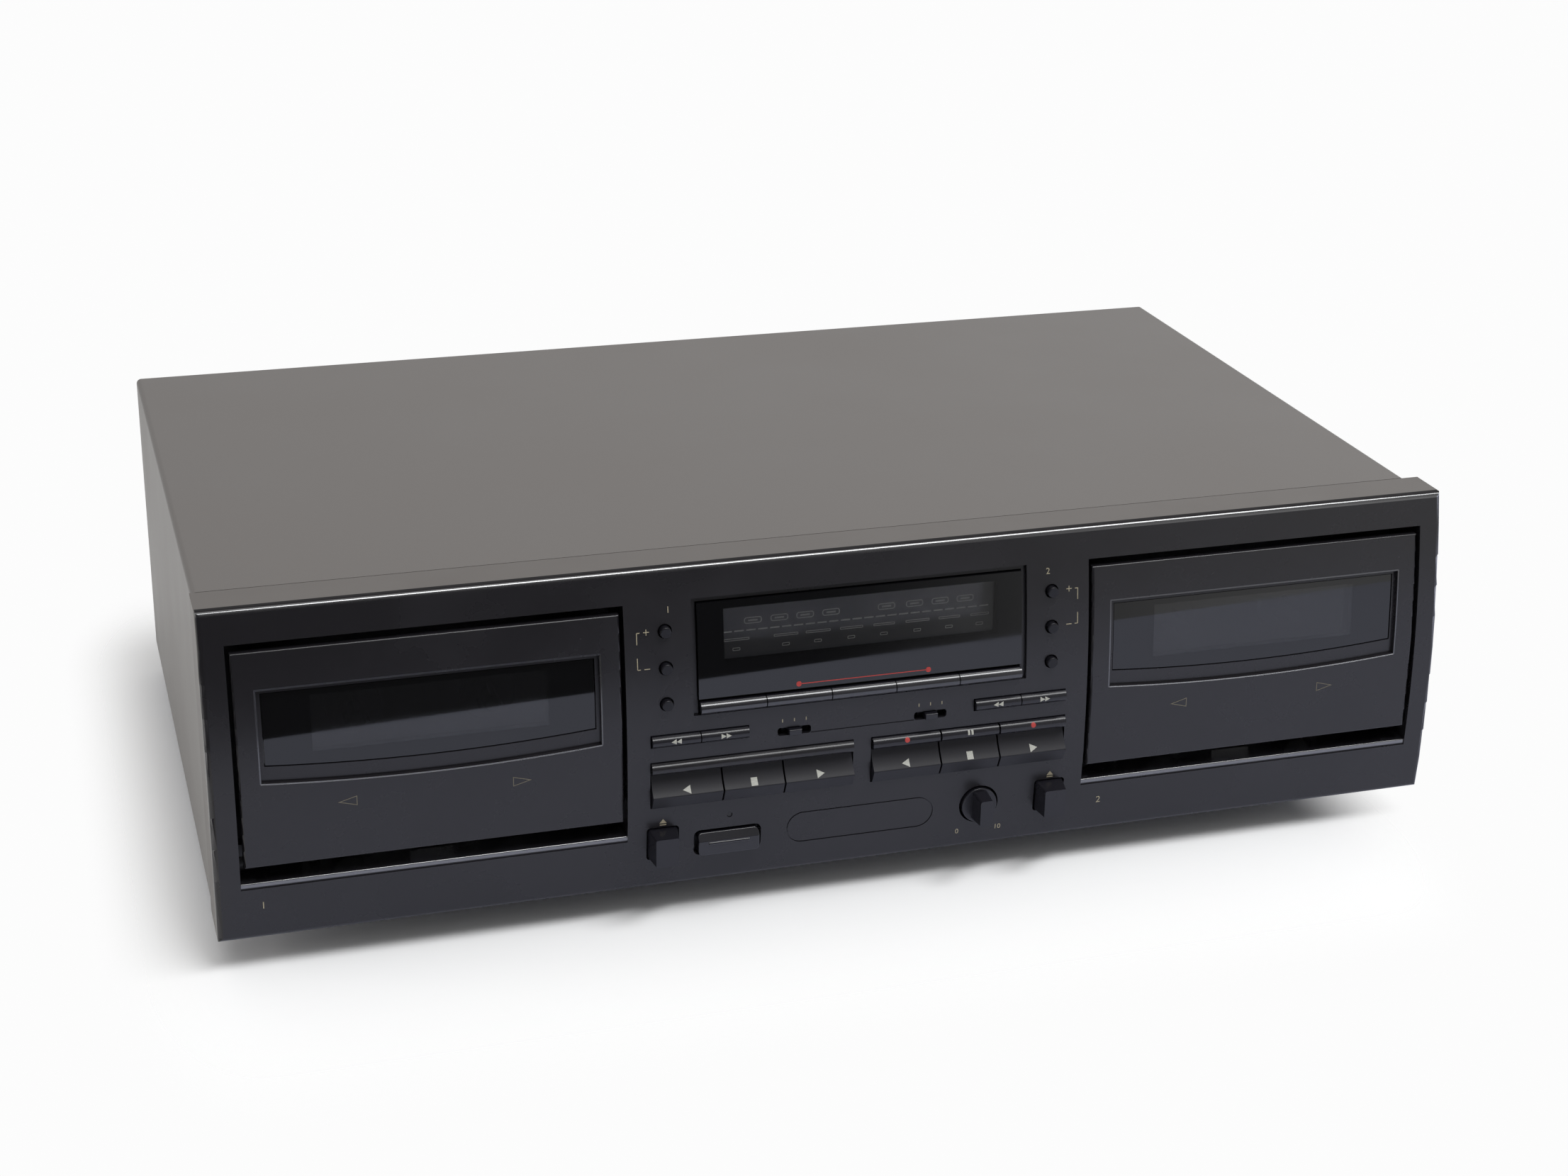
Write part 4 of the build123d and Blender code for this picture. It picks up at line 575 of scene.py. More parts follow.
class DECK_OT_stage(bpy.types.Operator):
    """Sets the floor, the lamps, the room light and the camera"""

    bl_idname = "deck.stage"
    bl_label = "Stage"

    def execute(self, context):
        settings = context.scene.deck_stage
        scene = context.scene
        scene.view_settings.view_transform = "Standard"
        self.camera(scene)
        self.floor(settings)
        self.lamps(settings)
        self.room(scene, settings)
        return {"FINISHED"}

    def camera(self, scene):
        """The camera where the photographer stood."""
        data = bpy.data.cameras.new("Camera")
        data.sensor_width = SENSOR
        data.lens = FOCAL_PIXELS / IMAGE_WIDTH * SENSOR
        data.shift_x = -(AXIS_PIXEL[0] - IMAGE_WIDTH / 2) / IMAGE_WIDTH
        data.shift_y = (AXIS_PIXEL[1] - IMAGE_HEIGHT / 2) / IMAGE_WIDTH
        data.clip_start = 0.01
        data.clip_end = 50.0
        camera = bpy.data.objects.new("Camera", data)
        scene.collection.objects.link(camera)
        ahead = Vector(
            (
                math.sin(CAMERA_HEADING) * math.cos(CAMERA_TILT),
                math.cos(CAMERA_HEADING) * math.cos(CAMERA_TILT),
                -math.sin(CAMERA_TILT),
            )
        )
        right = Vector((math.cos(CAMERA_HEADING), -math.sin(CAMERA_HEADING), 0))
        up = right.cross(ahead)
        cosine, sine = math.cos(CAMERA_ROLL), math.sin(CAMERA_ROLL)
        across = right * cosine + up * sine
        upward = up * cosine - right * sine
        turn = Matrix((across, upward, -ahead)).transposed().to_4x4()
        camera.matrix_world = Matrix.Translation(where(*CAMERA_PLACE)) @ turn
        scene.camera = camera

    def floor(self, settings):
        """A pale table top that ends in front of the deck and fades into the background."""
        deselect()
        edge = where(*TABLE_EDGE, 0)
        inward = Vector((math.sin(TABLE_TURN), math.cos(TABLE_TURN), 0)) * TABLE_REACH
        bpy.ops.mesh.primitive_plane_add(
            size=2 * TABLE_REACH,
            location=(edge.x + inward.x, edge.y + inward.y, 0),
            rotation=(0, 0, -TABLE_TURN),
        )
        floor = bpy.context.active_object
        floor.name = "floor"
        bake_place(floor)
        floor.data.materials.append(self.floor_paper(settings))

    def floor_paper(self, settings):
        """Matt paper, clear to the eye away from the deck, and glowing white for mirrored rays where the
        side mirrors it, a painted light.
        """
        finish = Finish("Pale floor")
        across, back, _ = finish.place()
        beside = (abs(across - FADE_MIDDLE) - FADE_HALF[0]).most(0.0) * FADE_BESIDE
        beyond = (abs(back) - FADE_HALF[1]).most(0.0)
        near = (beside * beside + beyond * beyond) ** 0.5
        far = (across * across + back * back) ** 0.5
        seen = finish.node("ShaderNodeLightPath", output="Is Camera Ray")
        gone = far.rise(*TABLE_END).most(seen * near.rise(*FADE))
        glossy = finish.node("ShaderNodeLightPath", output="Is Glossy Ray")
        tinted = glossy * across.step(SIDE_LINE, 4.0)
        colour = finish.mix(tinted, settings.floor, settings.mirrored)
        paper = finish.node(
            "ShaderNodeBsdfPrincipled", values={"Base Color": colour, "Roughness": 0.9}
        )
        bright = finish.node(
            "ShaderNodeEmission", values={"Color": (1.0, 0.985, 0.96, 1.0), "Strength": 1.0}
        )
        # Painted light: left of the side line, mirrored rays see the table top partly as a white glow
        paper = finish.blend((glossy - tinted) * SIDE_GLOW, paper, bright)
        away = finish.node("ShaderNodeBsdfTransparent")
        shader = finish.blend(gone, paper, away)
        finish.node("ShaderNodeOutputMaterial", values={"Surface": shader})
        return finish.material

    def lamps(self, settings):
        """Soft lamps above, in front and to the left."""
        for name, place, size, share, tint in LAMPS:
            data = bpy.data.lights.new(name, "AREA")
            data.shape = "RECTANGLE"
            data.size, data.size_y = size
            data.energy = settings.lamp * share
            data.color = tint
            lamp = bpy.data.objects.new(name, data)
            bpy.context.scene.collection.objects.link(lamp)
            lamp.location = place
            aim = LAMP_AIM - Vector(place)
            lamp.rotation_euler = aim.to_track_quat("-Z", "Y").to_euler()

    def room(self, scene, settings):
        """Soft light from above, a dark room in front, a pale wall to the right and behind."""
        world = bpy.data.worlds.new("Room")
        scene.world = world
        world.use_nodes = True
        finish = Finish.of_tree(world.node_tree)
        direction = finish.node("ShaderNodeTexCoord", output="Generated")
        split = finish.node("ShaderNodeSeparateXYZ", values={0: direction})
        across, back, up = [Signal(finish, socket) for socket in split.socket.node.outputs]
        above = up.rise(*CEILING)
        wall = across.rise(*WALL)
        level = FRONT_LEVEL + above * CEILING_LEVEL + wall * WALL_LEVEL * (1 - above)
        around = finish.node(
            "ShaderNodeBackground",
            values={"Color": finish.grey(level), "Strength": settings.room},
        )
        white = finish.node(
            "ShaderNodeBackground", values={"Color": (0.975, 0.975, 0.975, 1), "Strength": 1.0}
        )
        seen = finish.node("ShaderNodeLightPath", output="Is Camera Ray")
        glossy = finish.node("ShaderNodeLightPath", output="Is Glossy Ray")
        through = finish.node("ShaderNodeLightPath", output="Is Transmission Ray")
        paler = across.rise(-0.4, 0.7)
        behind = (glossy * (0.72 + paler * 0.28) + through) * back.rise(*BEHIND)
        mixed = finish.blend((seen + behind).least(1.0), around, white)
        finish.node("ShaderNodeOutputWorld", values={"Surface": mixed})


# Colours of plain metals
ZINC = (0.56, 0.57, 0.58)
STEEL = (0.62, 0.62, 0.60)


class DECK_OT_case(bpy.types.Operator):
    """Paints the cover, the back and the chassis, and finishes the feet and the gland"""

    bl_idname = "deck.case"
    bl_label = "Case"

    def execute(self, context):
        finishes = context.scene.deck_finishes
        paint = painted_sheet("Cover paint", finishes.cover, roughness=0.37, grain=2.2, depth=0.05)
        coat(["top_cover"], paint)
        darker = shade(finishes.cover, 0.45)
        paint = painted_sheet("Back paint", darker, roughness=0.5, grain=2.0, depth=0.03)
        coat(["rear_panel"], paint)
        coat(["chassis"], bare_metal("Zinc plate", ZINC, roughness=0.34))
        lighter = shade(finishes.panel, 1.4)
        matt = moulded_plastic("Foot plastic", lighter, roughness=0.5, grain=2.0, depth=0.03)
        coat(["feet", "cord_gland"], matt)
        return {"FINISHED"}


# The opening of each door's window in mm: half its width, its top, its low edge's middle, and how
# far that edge rises to its ends. Its edges are softened over the last width.
WINDOW_HALF = 53.3
WINDOW_TOP = 83.7
WINDOW_LOW = 51.9
WINDOW_SAG = 2.1
WINDOW_SOFT = 0.6

# The panel in mm: its rounding, how far behind its foremost point its top and ends are painted like the
# cover, partly as a painted sheen of the light on them, and the depths below its top and inside its ends
# over which that paint and the black lip, made matt as a painted shade, start
PANEL_ROUND = 1.6
TOP_PAINT = 11.9
END_PAINT = 7.5
PAINT_DEPTH = 0.3
LIP_DEPTH = 0.25
FULL_DEPTH = 0.15

# Heights between which the sill of each well catches the light, in mm from the panel's low edge
SILL = (18.6, 20.4)

# Coat that gives rounded edges their bright line
EDGE_COAT = {"Coat Roughness": 0.12, "Coat IOR": 2.1}


class DECK_OT_front(bpy.types.Operator):
    """Finishes the front panel and the door covers"""

    bl_idname = "deck.front"
    bl_label = "Front"

    def execute(self, context):
        finishes = context.scene.deck_finishes
        coat(["front_panel"], self.panel_plastic(finishes))
        coat(["door_1_cover", "door_2_cover"], self.door_plastic(finishes))
        return {"FINISHED"}

    def door_plastic(self, finishes):
        """Black moulding with softened edges round the sunk window."""
        finish = Finish("Door plastic")
        across, _, up = finish.place()
        beside = abs(abs(across) - DECK_CENTRE)
        height = up - PANEL_LOW / MM
        above = height - WINDOW_LOW - (beside / WINDOW_HALF) ** 2 * WINDOW_SAG
        sunk = above.rise(-WINDOW_SOFT, 0.0)
        sunk = sunk * (1 - beside.rise(WINDOW_HALF, WINDOW_HALF + WINDOW_SOFT))
        sunk = sunk * (1 - height.rise(WINDOW_TOP, WINDOW_TOP + WINDOW_SOFT))
        spark = finish.noise(4.0, 3.0)
        cloud, black = finish.mottle(finishes.door)
        return finish.surface({
            "Base Color": black,
            "Roughness": 0.25 + cloud.rise(0.35, 0.8) * 0.07,
            "Normal": finish.bump(spark * 0.0012 - sunk * WINDOW_SOFT, 1.0, 1.0),
            "IOR": 1.43,
            "Coat Weight": sunk * (1 - sunk) * 3.0,
            **EDGE_COAT,
        })

    def panel_plastic(self, finishes):
        """Black moulding whose top and ends are painted like the cover, partly a painted sheen of the
        light on them, behind a black lip made matt as a painted shade.
        """
        finish = Finish("Panel plastic")
        across, back, up = finish.place()
        low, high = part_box("front_panel")
        front, end, top = low[1] / MM, high[0] / MM, high[2] / MM
        upper = up.rise(top - PAINT_DEPTH, top - FULL_DEPTH)
        outer = abs(across).rise(end - PAINT_DEPTH, end - FULL_DEPTH)
        # The top and ends take the cover's colour: partly its paint, partly a painted sheen of the light
        # falling on the black moulding
        painted = (upper * back.step(front + TOP_PAINT)).most(outer * back.step(front + END_PAINT))
        # The lip keeps the moulding's black but is made matt and almost unreflecting: a painted shade of
        # the gap before the rounded edge
        lip = up.rise(top - LIP_DEPTH, top - FULL_DEPTH) * (1 - painted)
        rim = up.step(top - PANEL_ROUND) * (1 - painted) * (1 - lip)
        height = up - PANEL_LOW / MM
        sill = height.span(*SILL) * abs(across).span(*WELL, 0.2)
        peel = finish.noise(2.2, 2.0)
        spark = finish.noise(4.0, 3.0) * (1 - rim.most(sill))
        cloud, black = finish.mottle(finishes.panel)
        return finish.surface({
            "Base Color": finish.mix(painted, black, finishes.cover),
            "Roughness": 0.26 + cloud.rise(0.35, 0.8) * 0.05 + painted * 0.14,
            "Normal": finish.bump(spark + painted * (peel * 6.0), 0.3, 0.005),
            "IOR": 1.43,
            "Coat Weight": (rim * 0.75).most(sill),
            **EDGE_COAT,
        }, lip)


class DECK_OT_keys(bpy.types.Operator):
    """Finishes the keys, the buttons, the slide switches and the level knob"""

    bl_idname = "deck.keys"
    bl_label = "Keys"

    def execute(self, context):
        colour = context.scene.deck_finishes.keys
        names = [
            name
            for name in NODES
            if name.endswith(("_key", "_button", "_switch")) or name.startswith("copy_key")
        ]
        large = [name for name in names if name.endswith(("reverse_key", "stop_key", "play_key"))]
        copying = [name for name in names if name.startswith("copy_key")]
        buttons = [name for name in names if name.endswith("_button")]
        for nodes, name, tint, roughness, depth, index in (
            (names, "Key plastic", colour, 0.24, 0.004, 1.43),
            (copying, "Copy key plastic", colour, 0.2, 0.002, 1.7),
            (buttons, "Button plastic", shade(colour, 0.7), 0.3, 0.004, 1.33),
            (large, "Large key plastic", colour, 0.46, 0.004, 1.37),
            (["power_key"], "Polished plastic", colour, 0.12, 0.001, 1.5),
        ):
            coat(nodes, moulded_plastic(name, tint, roughness, 4.0, depth, index))
        coat(["level_knob"], moulded_plastic("Knob plastic", colour, roughness=0.28, depth=0.008))
        return {"FINISHED"}


# Clear part of each pane in mm: half its width, its low and its high edge
DISPLAY_CLEAR = (46.5, 77.3, 94.6)
DOOR_CLEAR = (37.0, 62.0, 80.2)


class DECK_OT_windows(bpy.types.Operator):
    """Glazes the display window and the door windows"""

    bl_idname = "deck.windows"
    bl_label = "Windows"

    def execute(self, context):
        smoked = self.pane("Smoked pane", 0.0, DISPLAY_CLEAR, alpha=0.24, index=2.4)
        coat(["display_window"], smoked)
        doors = self.pane("Door pane", DECK_CENTRE, DOOR_CLEAR, alpha=0.7, index=1.7)
        coat(["door_1_window", "door_2_window"], doors)
        return {"FINISHED"}

    def pane(self, name, centre, clear, alpha, index):
        """Polished pane with a black printed border round a clear part."""
        finish = Finish(name)
        across, _, up = finish.place()
        reach, bottom, top = clear
        height = up - PANEL_LOW / MM
        beside = abs(abs(across) - centre)
        seen = (1 - beside.step(reach, 0.15)) * height.span(bottom, top, 0.15)
        smear = finish.noise(0.02, 4.0)
        gloss = 0.03 + smear.rise(0.45, 0.8) * 0.04
        border = finish.node(
            "ShaderNodeBsdfPrincipled",
            values={"Base Color": colour4((0.002, 0.002, 0.0026)), "Roughness": gloss},
        )
        clear = finish.node(
            "ShaderNodeBsdfPrincipled",
            values={
                "Base Color": colour4((0.004, 0.004, 0.005)),
                "Roughness": gloss,
                "IOR": index,
                "Alpha": alpha,
            },
        )
        shader = finish.blend(seen, border, clear)
        finish.node("ShaderNodeOutputMaterial", values={"Surface": shader})
        return finish.material


# The pinch rollers in mm: how far from the middle of the deck, how far behind the panel's edge
# their metal holder begins, their radius with a little play, and how far they reach below the plate
ROLLER_PLACE = 26.2
ROLLER_BACK = 12.6
ROLLER_RADIUS = 5.1
ROLLER_BELOW = 3.5


class DECK_OT_mechanism(bpy.types.Operator):
    """Finishes the holders, the frames, the reels, the capstans, the motors and the belts"""

    bl_idname = "deck.mechanism"
    bl_label = "Mechanism"

    def execute(self, context):
        finishes = context.scene.deck_finishes
        dark = moulded_plastic("Inner plastic", finishes.inside, roughness=0.42, grain=2.5, depth=0.004)
        coat(["door_1_holder", "door_2_holder", "mechanism_frames"], dark)
        reels = [name for name in NODES if name.endswith("_reel")]
        coat(reels, moulded_plastic("Reel plastic", (0.03, 0.03, 0.032), roughness=0.35))
        coat(["motors"], bare_metal("Motor can", (0.62, 0.62, 0.61), roughness=0.28))
        rubber = moulded_plastic("Belt rubber", (0.012, 0.012, 0.012), roughness=0.65)
        coat(["drive_belts"], rubber)
        wheels = [name for name in NODES if name.endswith("_capstan")]
        coat(wheels, bare_metal("Wheel metal", (0.66, 0.64, 0.60), roughness=0.22, stretch=(1, 1, 1)))
        coat(["deck_1_head_plate", "deck_2_head_plate"], self.head_metal())
        return {"FINISHED"}

    def head_metal(self):
        """Plated steel, with the two pinch rollers black."""
        finish = Finish("Head metal")
        across, back, up = finish.place()
        side = abs(abs(abs(across) - DECK_CENTRE) - ROLLER_PLACE)
        plate_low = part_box("deck_1_head_plate")[0][2] / MM
        lines = finish.noise(1.6, 3.0, 0.6, (0.08, 1, 1))
        rubber = (1 - side.step(ROLLER_RADIUS)) * (1 - back.step(PANEL_EDGE / MM + ROLLER_BACK))
        rubber = rubber * up.step(plate_low - ROLLER_BELOW, 0.5)
        return finish.surface({
            "Base Color": finish.mix(rubber, STEEL, (0.014, 0.014, 0.014)),
            "Metallic": 1 - rubber,
            "Roughness": 0.22 + lines * 0.14 + rubber * 0.35,
        })


# The boards in mm: the main board's thickness, how far its sockets stand in the rear panel, the
# display board's black front, a painted shade that darkens what the switch slots show, its tube's lowest
# and highest edge and half width, and half the width and the depth of the tube's clear part
BOARD_THICKNESS = 1.6
SOCKET_SEAT = 1.1
DISPLAY_BACK = 11.4
TUBE = (68.5, 94.0)
TUBE_HALF = 52.4
TUBE_CLEAR_HALF = 48.0
TUBE_CLEAR_BACK = 3.5

# The transformer in mm: half the depth of its core, and its strap's thickness
CORE_HALF = 13.05
STRAP_THICKNESS = 1.45


class DECK_OT_boards(bpy.types.Operator):
    """Finishes the boards, the transformer and the sockets"""

    bl_idname = "deck.boards"
    bl_label = "Boards"

    def execute(self, context):
        coat(["main_board"], self.main_board())
        coat(["display_board"], self.display_board())
        coat(["transformer"], self.transformer())
        return {"FINISHED"}

    def main_board(self):
        """Green lacquer with dark parts above it, and nickel sockets behind the back panel."""
        finish = Finish("Main board")
        _, back, up = finish.place()
        board_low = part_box("main_board")[0][2] / MM
        panel_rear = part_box("rear_panel")[1][1] / MM
        parts = up.step(board_low + BOARD_THICKNESS + 0.1, 0.05)
        rear = back.step(panel_rear - SOCKET_SEAT)
        tracks = finish.noise(0.35, 2.0, 0.4, (1, 0.25, 1)).rise(0.5, 0.56)
        green = finish.mix(tracks, (0.02, 0.10, 0.03), (0.035, 0.16, 0.05))
        blocks = finish.noise(0.03, 1.0).rise(0.45, 0.55)
        dark = finish.mix(blocks, (0.015, 0.015, 0.016), (0.03, 0.035, 0.08))
        board = finish.mix(parts, green, dark)
        return finish.surface({
            "Base Color": finish.mix(rear, board, (0.70, 0.68, 0.62)),
            "Metallic": rear,
            "Roughness": 0.42 - rear * 0.2 - parts * 0.06,
        })

    def display_board(self):
        """Black in front as a painted shade seen through the switch slots, with a grey glass tube, and
        tan laminate behind.
        """
        finish = Finish("Display board")
        across, back, up = finish.place()
        deep = back - PANEL_EDGE / MM
        height = up - PANEL_LOW / MM
        front = 1 - deep.step(DISPLAY_BACK)
        tube = front * height.span(*TUBE) * (1 - abs(across).step(TUBE_HALF, 0.2))
        bright = tube * (1 - abs(across).step(TUBE_CLEAR_HALF, 0.4))
        bright = bright * (1 - deep.step(TUBE_CLEAR_BACK))
        mesh = finish.noise(0.06, 2.0)
        # The front of the board is black: painted shade for what shows through the switch slots
        board = finish.mix(front, (0.23, 0.15, 0.06), (0.012, 0.012, 0.013))
        grey = finish.mix(mesh.rise(0.3, 0.7), (0.060, 0.060, 0.068), (0.080, 0.080, 0.088))
        return finish.surface({
            "Base Color": finish.mix(bright, board, grey),
            "Roughness": 0.5 - tube * 0.25,
        })

    def transformer(self):
        """Dark laminations round a taped coil, on a zinc strap."""
        finish = Finish("Transformer")
        _, back, up = finish.place()
        low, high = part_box("transformer")
        middle = (low[1] + high[1]) / 2 / MM
        strap = 1 - up.step(low[2] / MM + STRAP_THICKNESS, 0.05)
        coil = abs(back - middle).step(CORE_HALF, 0.05)
        sheets = finish.noise(1.2, 1.0, 0.5, (0.02, 1, 0.02)).rise(0.4, 0.6)
        core = finish.mix(sheets, (0.03, 0.03, 0.035), (0.09, 0.09, 0.095))
        tape = finish.mix(coil, core, (0.55, 0.38, 0.05))
        return finish.surface({
            "Base Color": finish.mix(strap, tape, ZINC),
            "Metallic": strap,
            "Roughness": 0.5 - strap * 0.15,
        })


# A screw in mm: its head's radius, height and rounding, the cross in it, and its shank
HEAD_RADIUS = 2.9
HEAD_HEIGHT = 1.8
HEAD_ROUND = 0.8
CROSS = (3.0, 0.7, 1.6)
CROSS_HEIGHT = 1.5
SHANK_RADIUS = 1.45
SHANK_LENGTH = 8.0
SHANK_TIP = 0.5

# Where the screws sit, in mm: on the cover's rear edges and on the rear panel as width and height,
# and on the main board, the transformer and in the feet as width and depth
COVER_SCREWS = ((-190, 103.5), (0, 103.5), (190, 103.5), (-203.9, 52), (199.5, 52))
REAR_SCREWS = ((-120, 6.6), (60, 6.6), (190, 6.6))
BOARD_SCREWS = ((-90, 92), (188, 92), (-90, 218), (188, 214))
BOARD_TOP = 12.6
TRANSFORMER_SCREWS = ((-184, 190), (-116, 190))
TRANSFORMER_SEAT = 5.2
FOOT_SCREWS = ((-165, 46), (-165, 206), (165, 46), (165, 206))
FOOT_SEAT = -2.0


class DECK_OT_screws(bpy.types.Operator):
    """Models one domed cross-head screw and copies it to every screw place"""

    bl_idname = "deck.screws"
    bl_label = "Screws"

    def execute(self, context):
        metal = bare_metal("Screw metal", (0.035, 0.035, 0.037), roughness=0.30, stretch=(1, 1, 1))
        pattern = self.screw()
        heads = []
        for start, along in self.places():
            copy = pattern.copy()
            copy.data = pattern.data.copy()
            bpy.context.scene.collection.objects.link(copy)
            copy.location = start
            copy.rotation_euler = Vector(along).to_track_quat("Z", "Y").to_euler()
            bake_place(copy)
            heads.append(copy)
        bpy.data.objects.remove(pattern, do_unlink=True)
        screws = join_pieces(heads, "screws")
        screws.data.materials.clear()
        screws.data.materials.append(metal)
        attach(screws, "cabinet")
        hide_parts("case_screws")
        return {"FINISHED"}

    def places(self):
        """Seat of each screw head and the way it points."""
        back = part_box("top_cover")[1][1]
        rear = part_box("rear_panel")[1][1]
        found = []
        for screws, depth in ((COVER_SCREWS, back), (REAR_SCREWS, rear)):
            for width, height in screws:
                seat = Vector((width * MM, depth, PANEL_LOW + height * MM))
                found.append((seat, (0, 1, 0)))
        for screws, height, way in (
            (BOARD_SCREWS, BOARD_TOP, 1),
            (TRANSFORMER_SCREWS, TRANSFORMER_SEAT, 1),
            (FOOT_SCREWS, FOOT_SEAT, -1),
        ):
            for width, depth in screws:
                found.append((where(width, depth, height), (0, 0, way)))
        return found

    def screw(self):
        """A pan head with a cross recess on a short shank, standing on its seat."""
        head = self.rod(24, HEAD_RADIUS, HEAD_HEIGHT, HEAD_HEIGHT / 2)
        bevel_end(head, 1, HEAD_ROUND, segments=4)
        for turn in (0, math.pi / 2):
            deselect()
            bpy.ops.mesh.primitive_cube_add(
                size=1.0, location=(0, 0, CROSS_HEIGHT * MM), rotation=(0, 0, turn)
            )
            blade = bpy.context.active_object
            blade.scale = [size * MM for size in CROSS]
            bake_place(blade)
            cut = head.modifiers.new("Cross", "BOOLEAN")
            cut.operation = "DIFFERENCE"
            cut.object = blade
            only(head)
            bpy.ops.object.modifier_apply(modifier="Cross")
            bpy.data.objects.remove(blade, do_unlink=True)
        shank = self.rod(16, SHANK_RADIUS, SHANK_LENGTH, -SHANK_LENGTH / 2)
        bevel_end(shank, -1, SHANK_TIP, segments=1)
        return join_pieces([head, shank], "screw_pattern")

    def rod(self, sides, radius, length, middle):
        """Upright round rod with its place in its mesh."""
        deselect()
        bpy.ops.mesh.primitive_cylinder_add(
            vertices=sides, radius=radius * MM, depth=length * MM, location=(0, 0, middle * MM)
        )
        rod = bpy.context.active_object
        bake_place(rod)
        return rod


# Plain numbers on the panel: the number, its place in width and height, and its size, in mm
FIGURES = (
    ("1", -195.5, 11.8, 3.4),
    ("2", 86.0, 11.5, 3.4),
    ("1", -64.5, 96.0, 3.0),
    ("2", 64.5, 96.0, 3.0),
    ("0", 35.0, 6.0, 2.6),
    ("10", 49.5, 6.0, 2.6),
)

# The signs beside the upper buttons in mm: heights of plus and minus, how far from the middle
# they and their bracket stand, and their lengths
PLUS_HEIGHT = 89.5
MINUS_HEIGHT = 77.5
SIGN_PLACE = 71.9
SIGN_LENGTH = 1.9
BRACKET_PLACE = 75.0
BRACKET_LENGTH = 3.8
BRACKET_END = 1.0

# The eject sign above each eject key in mm: a triangle over a bar
EJECT_PLACE = 67.3
EJECT_HEIGHT = 24.0
EJECT_BAR_HEIGHT = 22.9

# The short lines above the two slide switches in mm
SWITCH_PLACES = (-23.4, 23.4)
SWITCH_STEP = 4.0
SWITCH_LINE = 1.1
SWITCH_HEIGHT = 55.0


class DECK_OT_panel_print(bpy.types.Operator):
    """Prints the plain numbers and signs on the front panel"""

    bl_idname = "deck.panel_print"
    bl_label = "Panel print"

    def execute(self, context):
        finishes = context.scene.deck_finishes
        line = context.scene.deck_marks.line / MM
        shapes = [figure(*number) for number in FIGURES]
        for side in (-1, 1):
            sign = side * SIGN_PLACE
            shapes.append(flat_panel(sign, PLUS_HEIGHT, (SIGN_LENGTH, line)))
            shapes.append(flat_panel(sign, PLUS_HEIGHT, (line, SIGN_LENGTH)))
            shapes.append(flat_panel(sign, MINUS_HEIGHT, (SIGN_LENGTH, line)))
            for end, turn in ((PLUS_HEIGHT, -1), (MINUS_HEIGHT, 1)):
                middle = end + turn * BRACKET_LENGTH / 2
                shapes.append(flat_panel(side * BRACKET_PLACE, middle, (line, BRACKET_LENGTH)))
                inner = side * (BRACKET_PLACE - BRACKET_END / 2)
                shapes.append(flat_panel(inner, end, (BRACKET_END, line)))
            shapes.append(arrow(side * EJECT_PLACE, EJECT_HEIGHT, 1.5, 2.4, 0))
            shapes.append(flat_panel(side * EJECT_PLACE, EJECT_BAR_HEIGHT, (2.2, 0.4)))
        for middle in SWITCH_PLACES:
            for step in (-1, 0, 1):
                place = middle + step * SWITCH_STEP
                shapes.append(flat_panel(place, SWITCH_HEIGHT, (line, SWITCH_LINE)))
        print_on(
            shapes,
            "panel_print",
            "front_panel",
            "cabinet",
            ink("Panel ink", finishes.lettering),
        )
        return {"FINISHED"}


# The hollow triangles on each door in mm
DOOR_ARROW_PLACE = 26.5
DOOR_ARROW_HEIGHT = 44.8
DOOR_ARROW_SIZE = (6.0, 3.3)
DOOR_ARROW_LINE = 0.22


class DECK_OT_door_print(bpy.types.Operator):
    """Prints the two direction triangles on each door"""

    bl_idname = "deck.door_print"
    bl_label = "Door print"

    def execute(self, context):
        finishes = context.scene.deck_finishes
        material = ink("Door ink", shade(finishes.lettering, 0.42))
        for deck, centre in DECKS:
            shapes = []
            for side in (-1, 1):
                place = centre + side * DOOR_ARROW_PLACE
                shapes.append(arrow(place, DOOR_ARROW_HEIGHT, *DOOR_ARROW_SIZE, side, DOOR_ARROW_LINE))
            print_on(
                shapes,
                f"door_{deck}_print",
                f"door_{deck}_cover",
                f"door_{deck}",
                material,
            )
        return {"FINISHED"}


# Keys in mm: heights of their marks, the middles of the large and winding keys of a deck, the steps
# from there to its keys, and the length of a winding key's triangles
LARGE_HEIGHT = 35.6
LARGE_PLACE = 37.3
LARGE_STEP = 22.2
WINDING_HEIGHT = 52.9
WINDING_PLACE = 55.0
WINDING_STEP = 8.0
WINDING_MARK = 1.7
NARROW_HEIGHT = 43.9
RECORD_PLACE = 15.0
PAUSE_PLACE = 37.2
MUTE_PLACE = 59.5
KEY_CUTS = 3


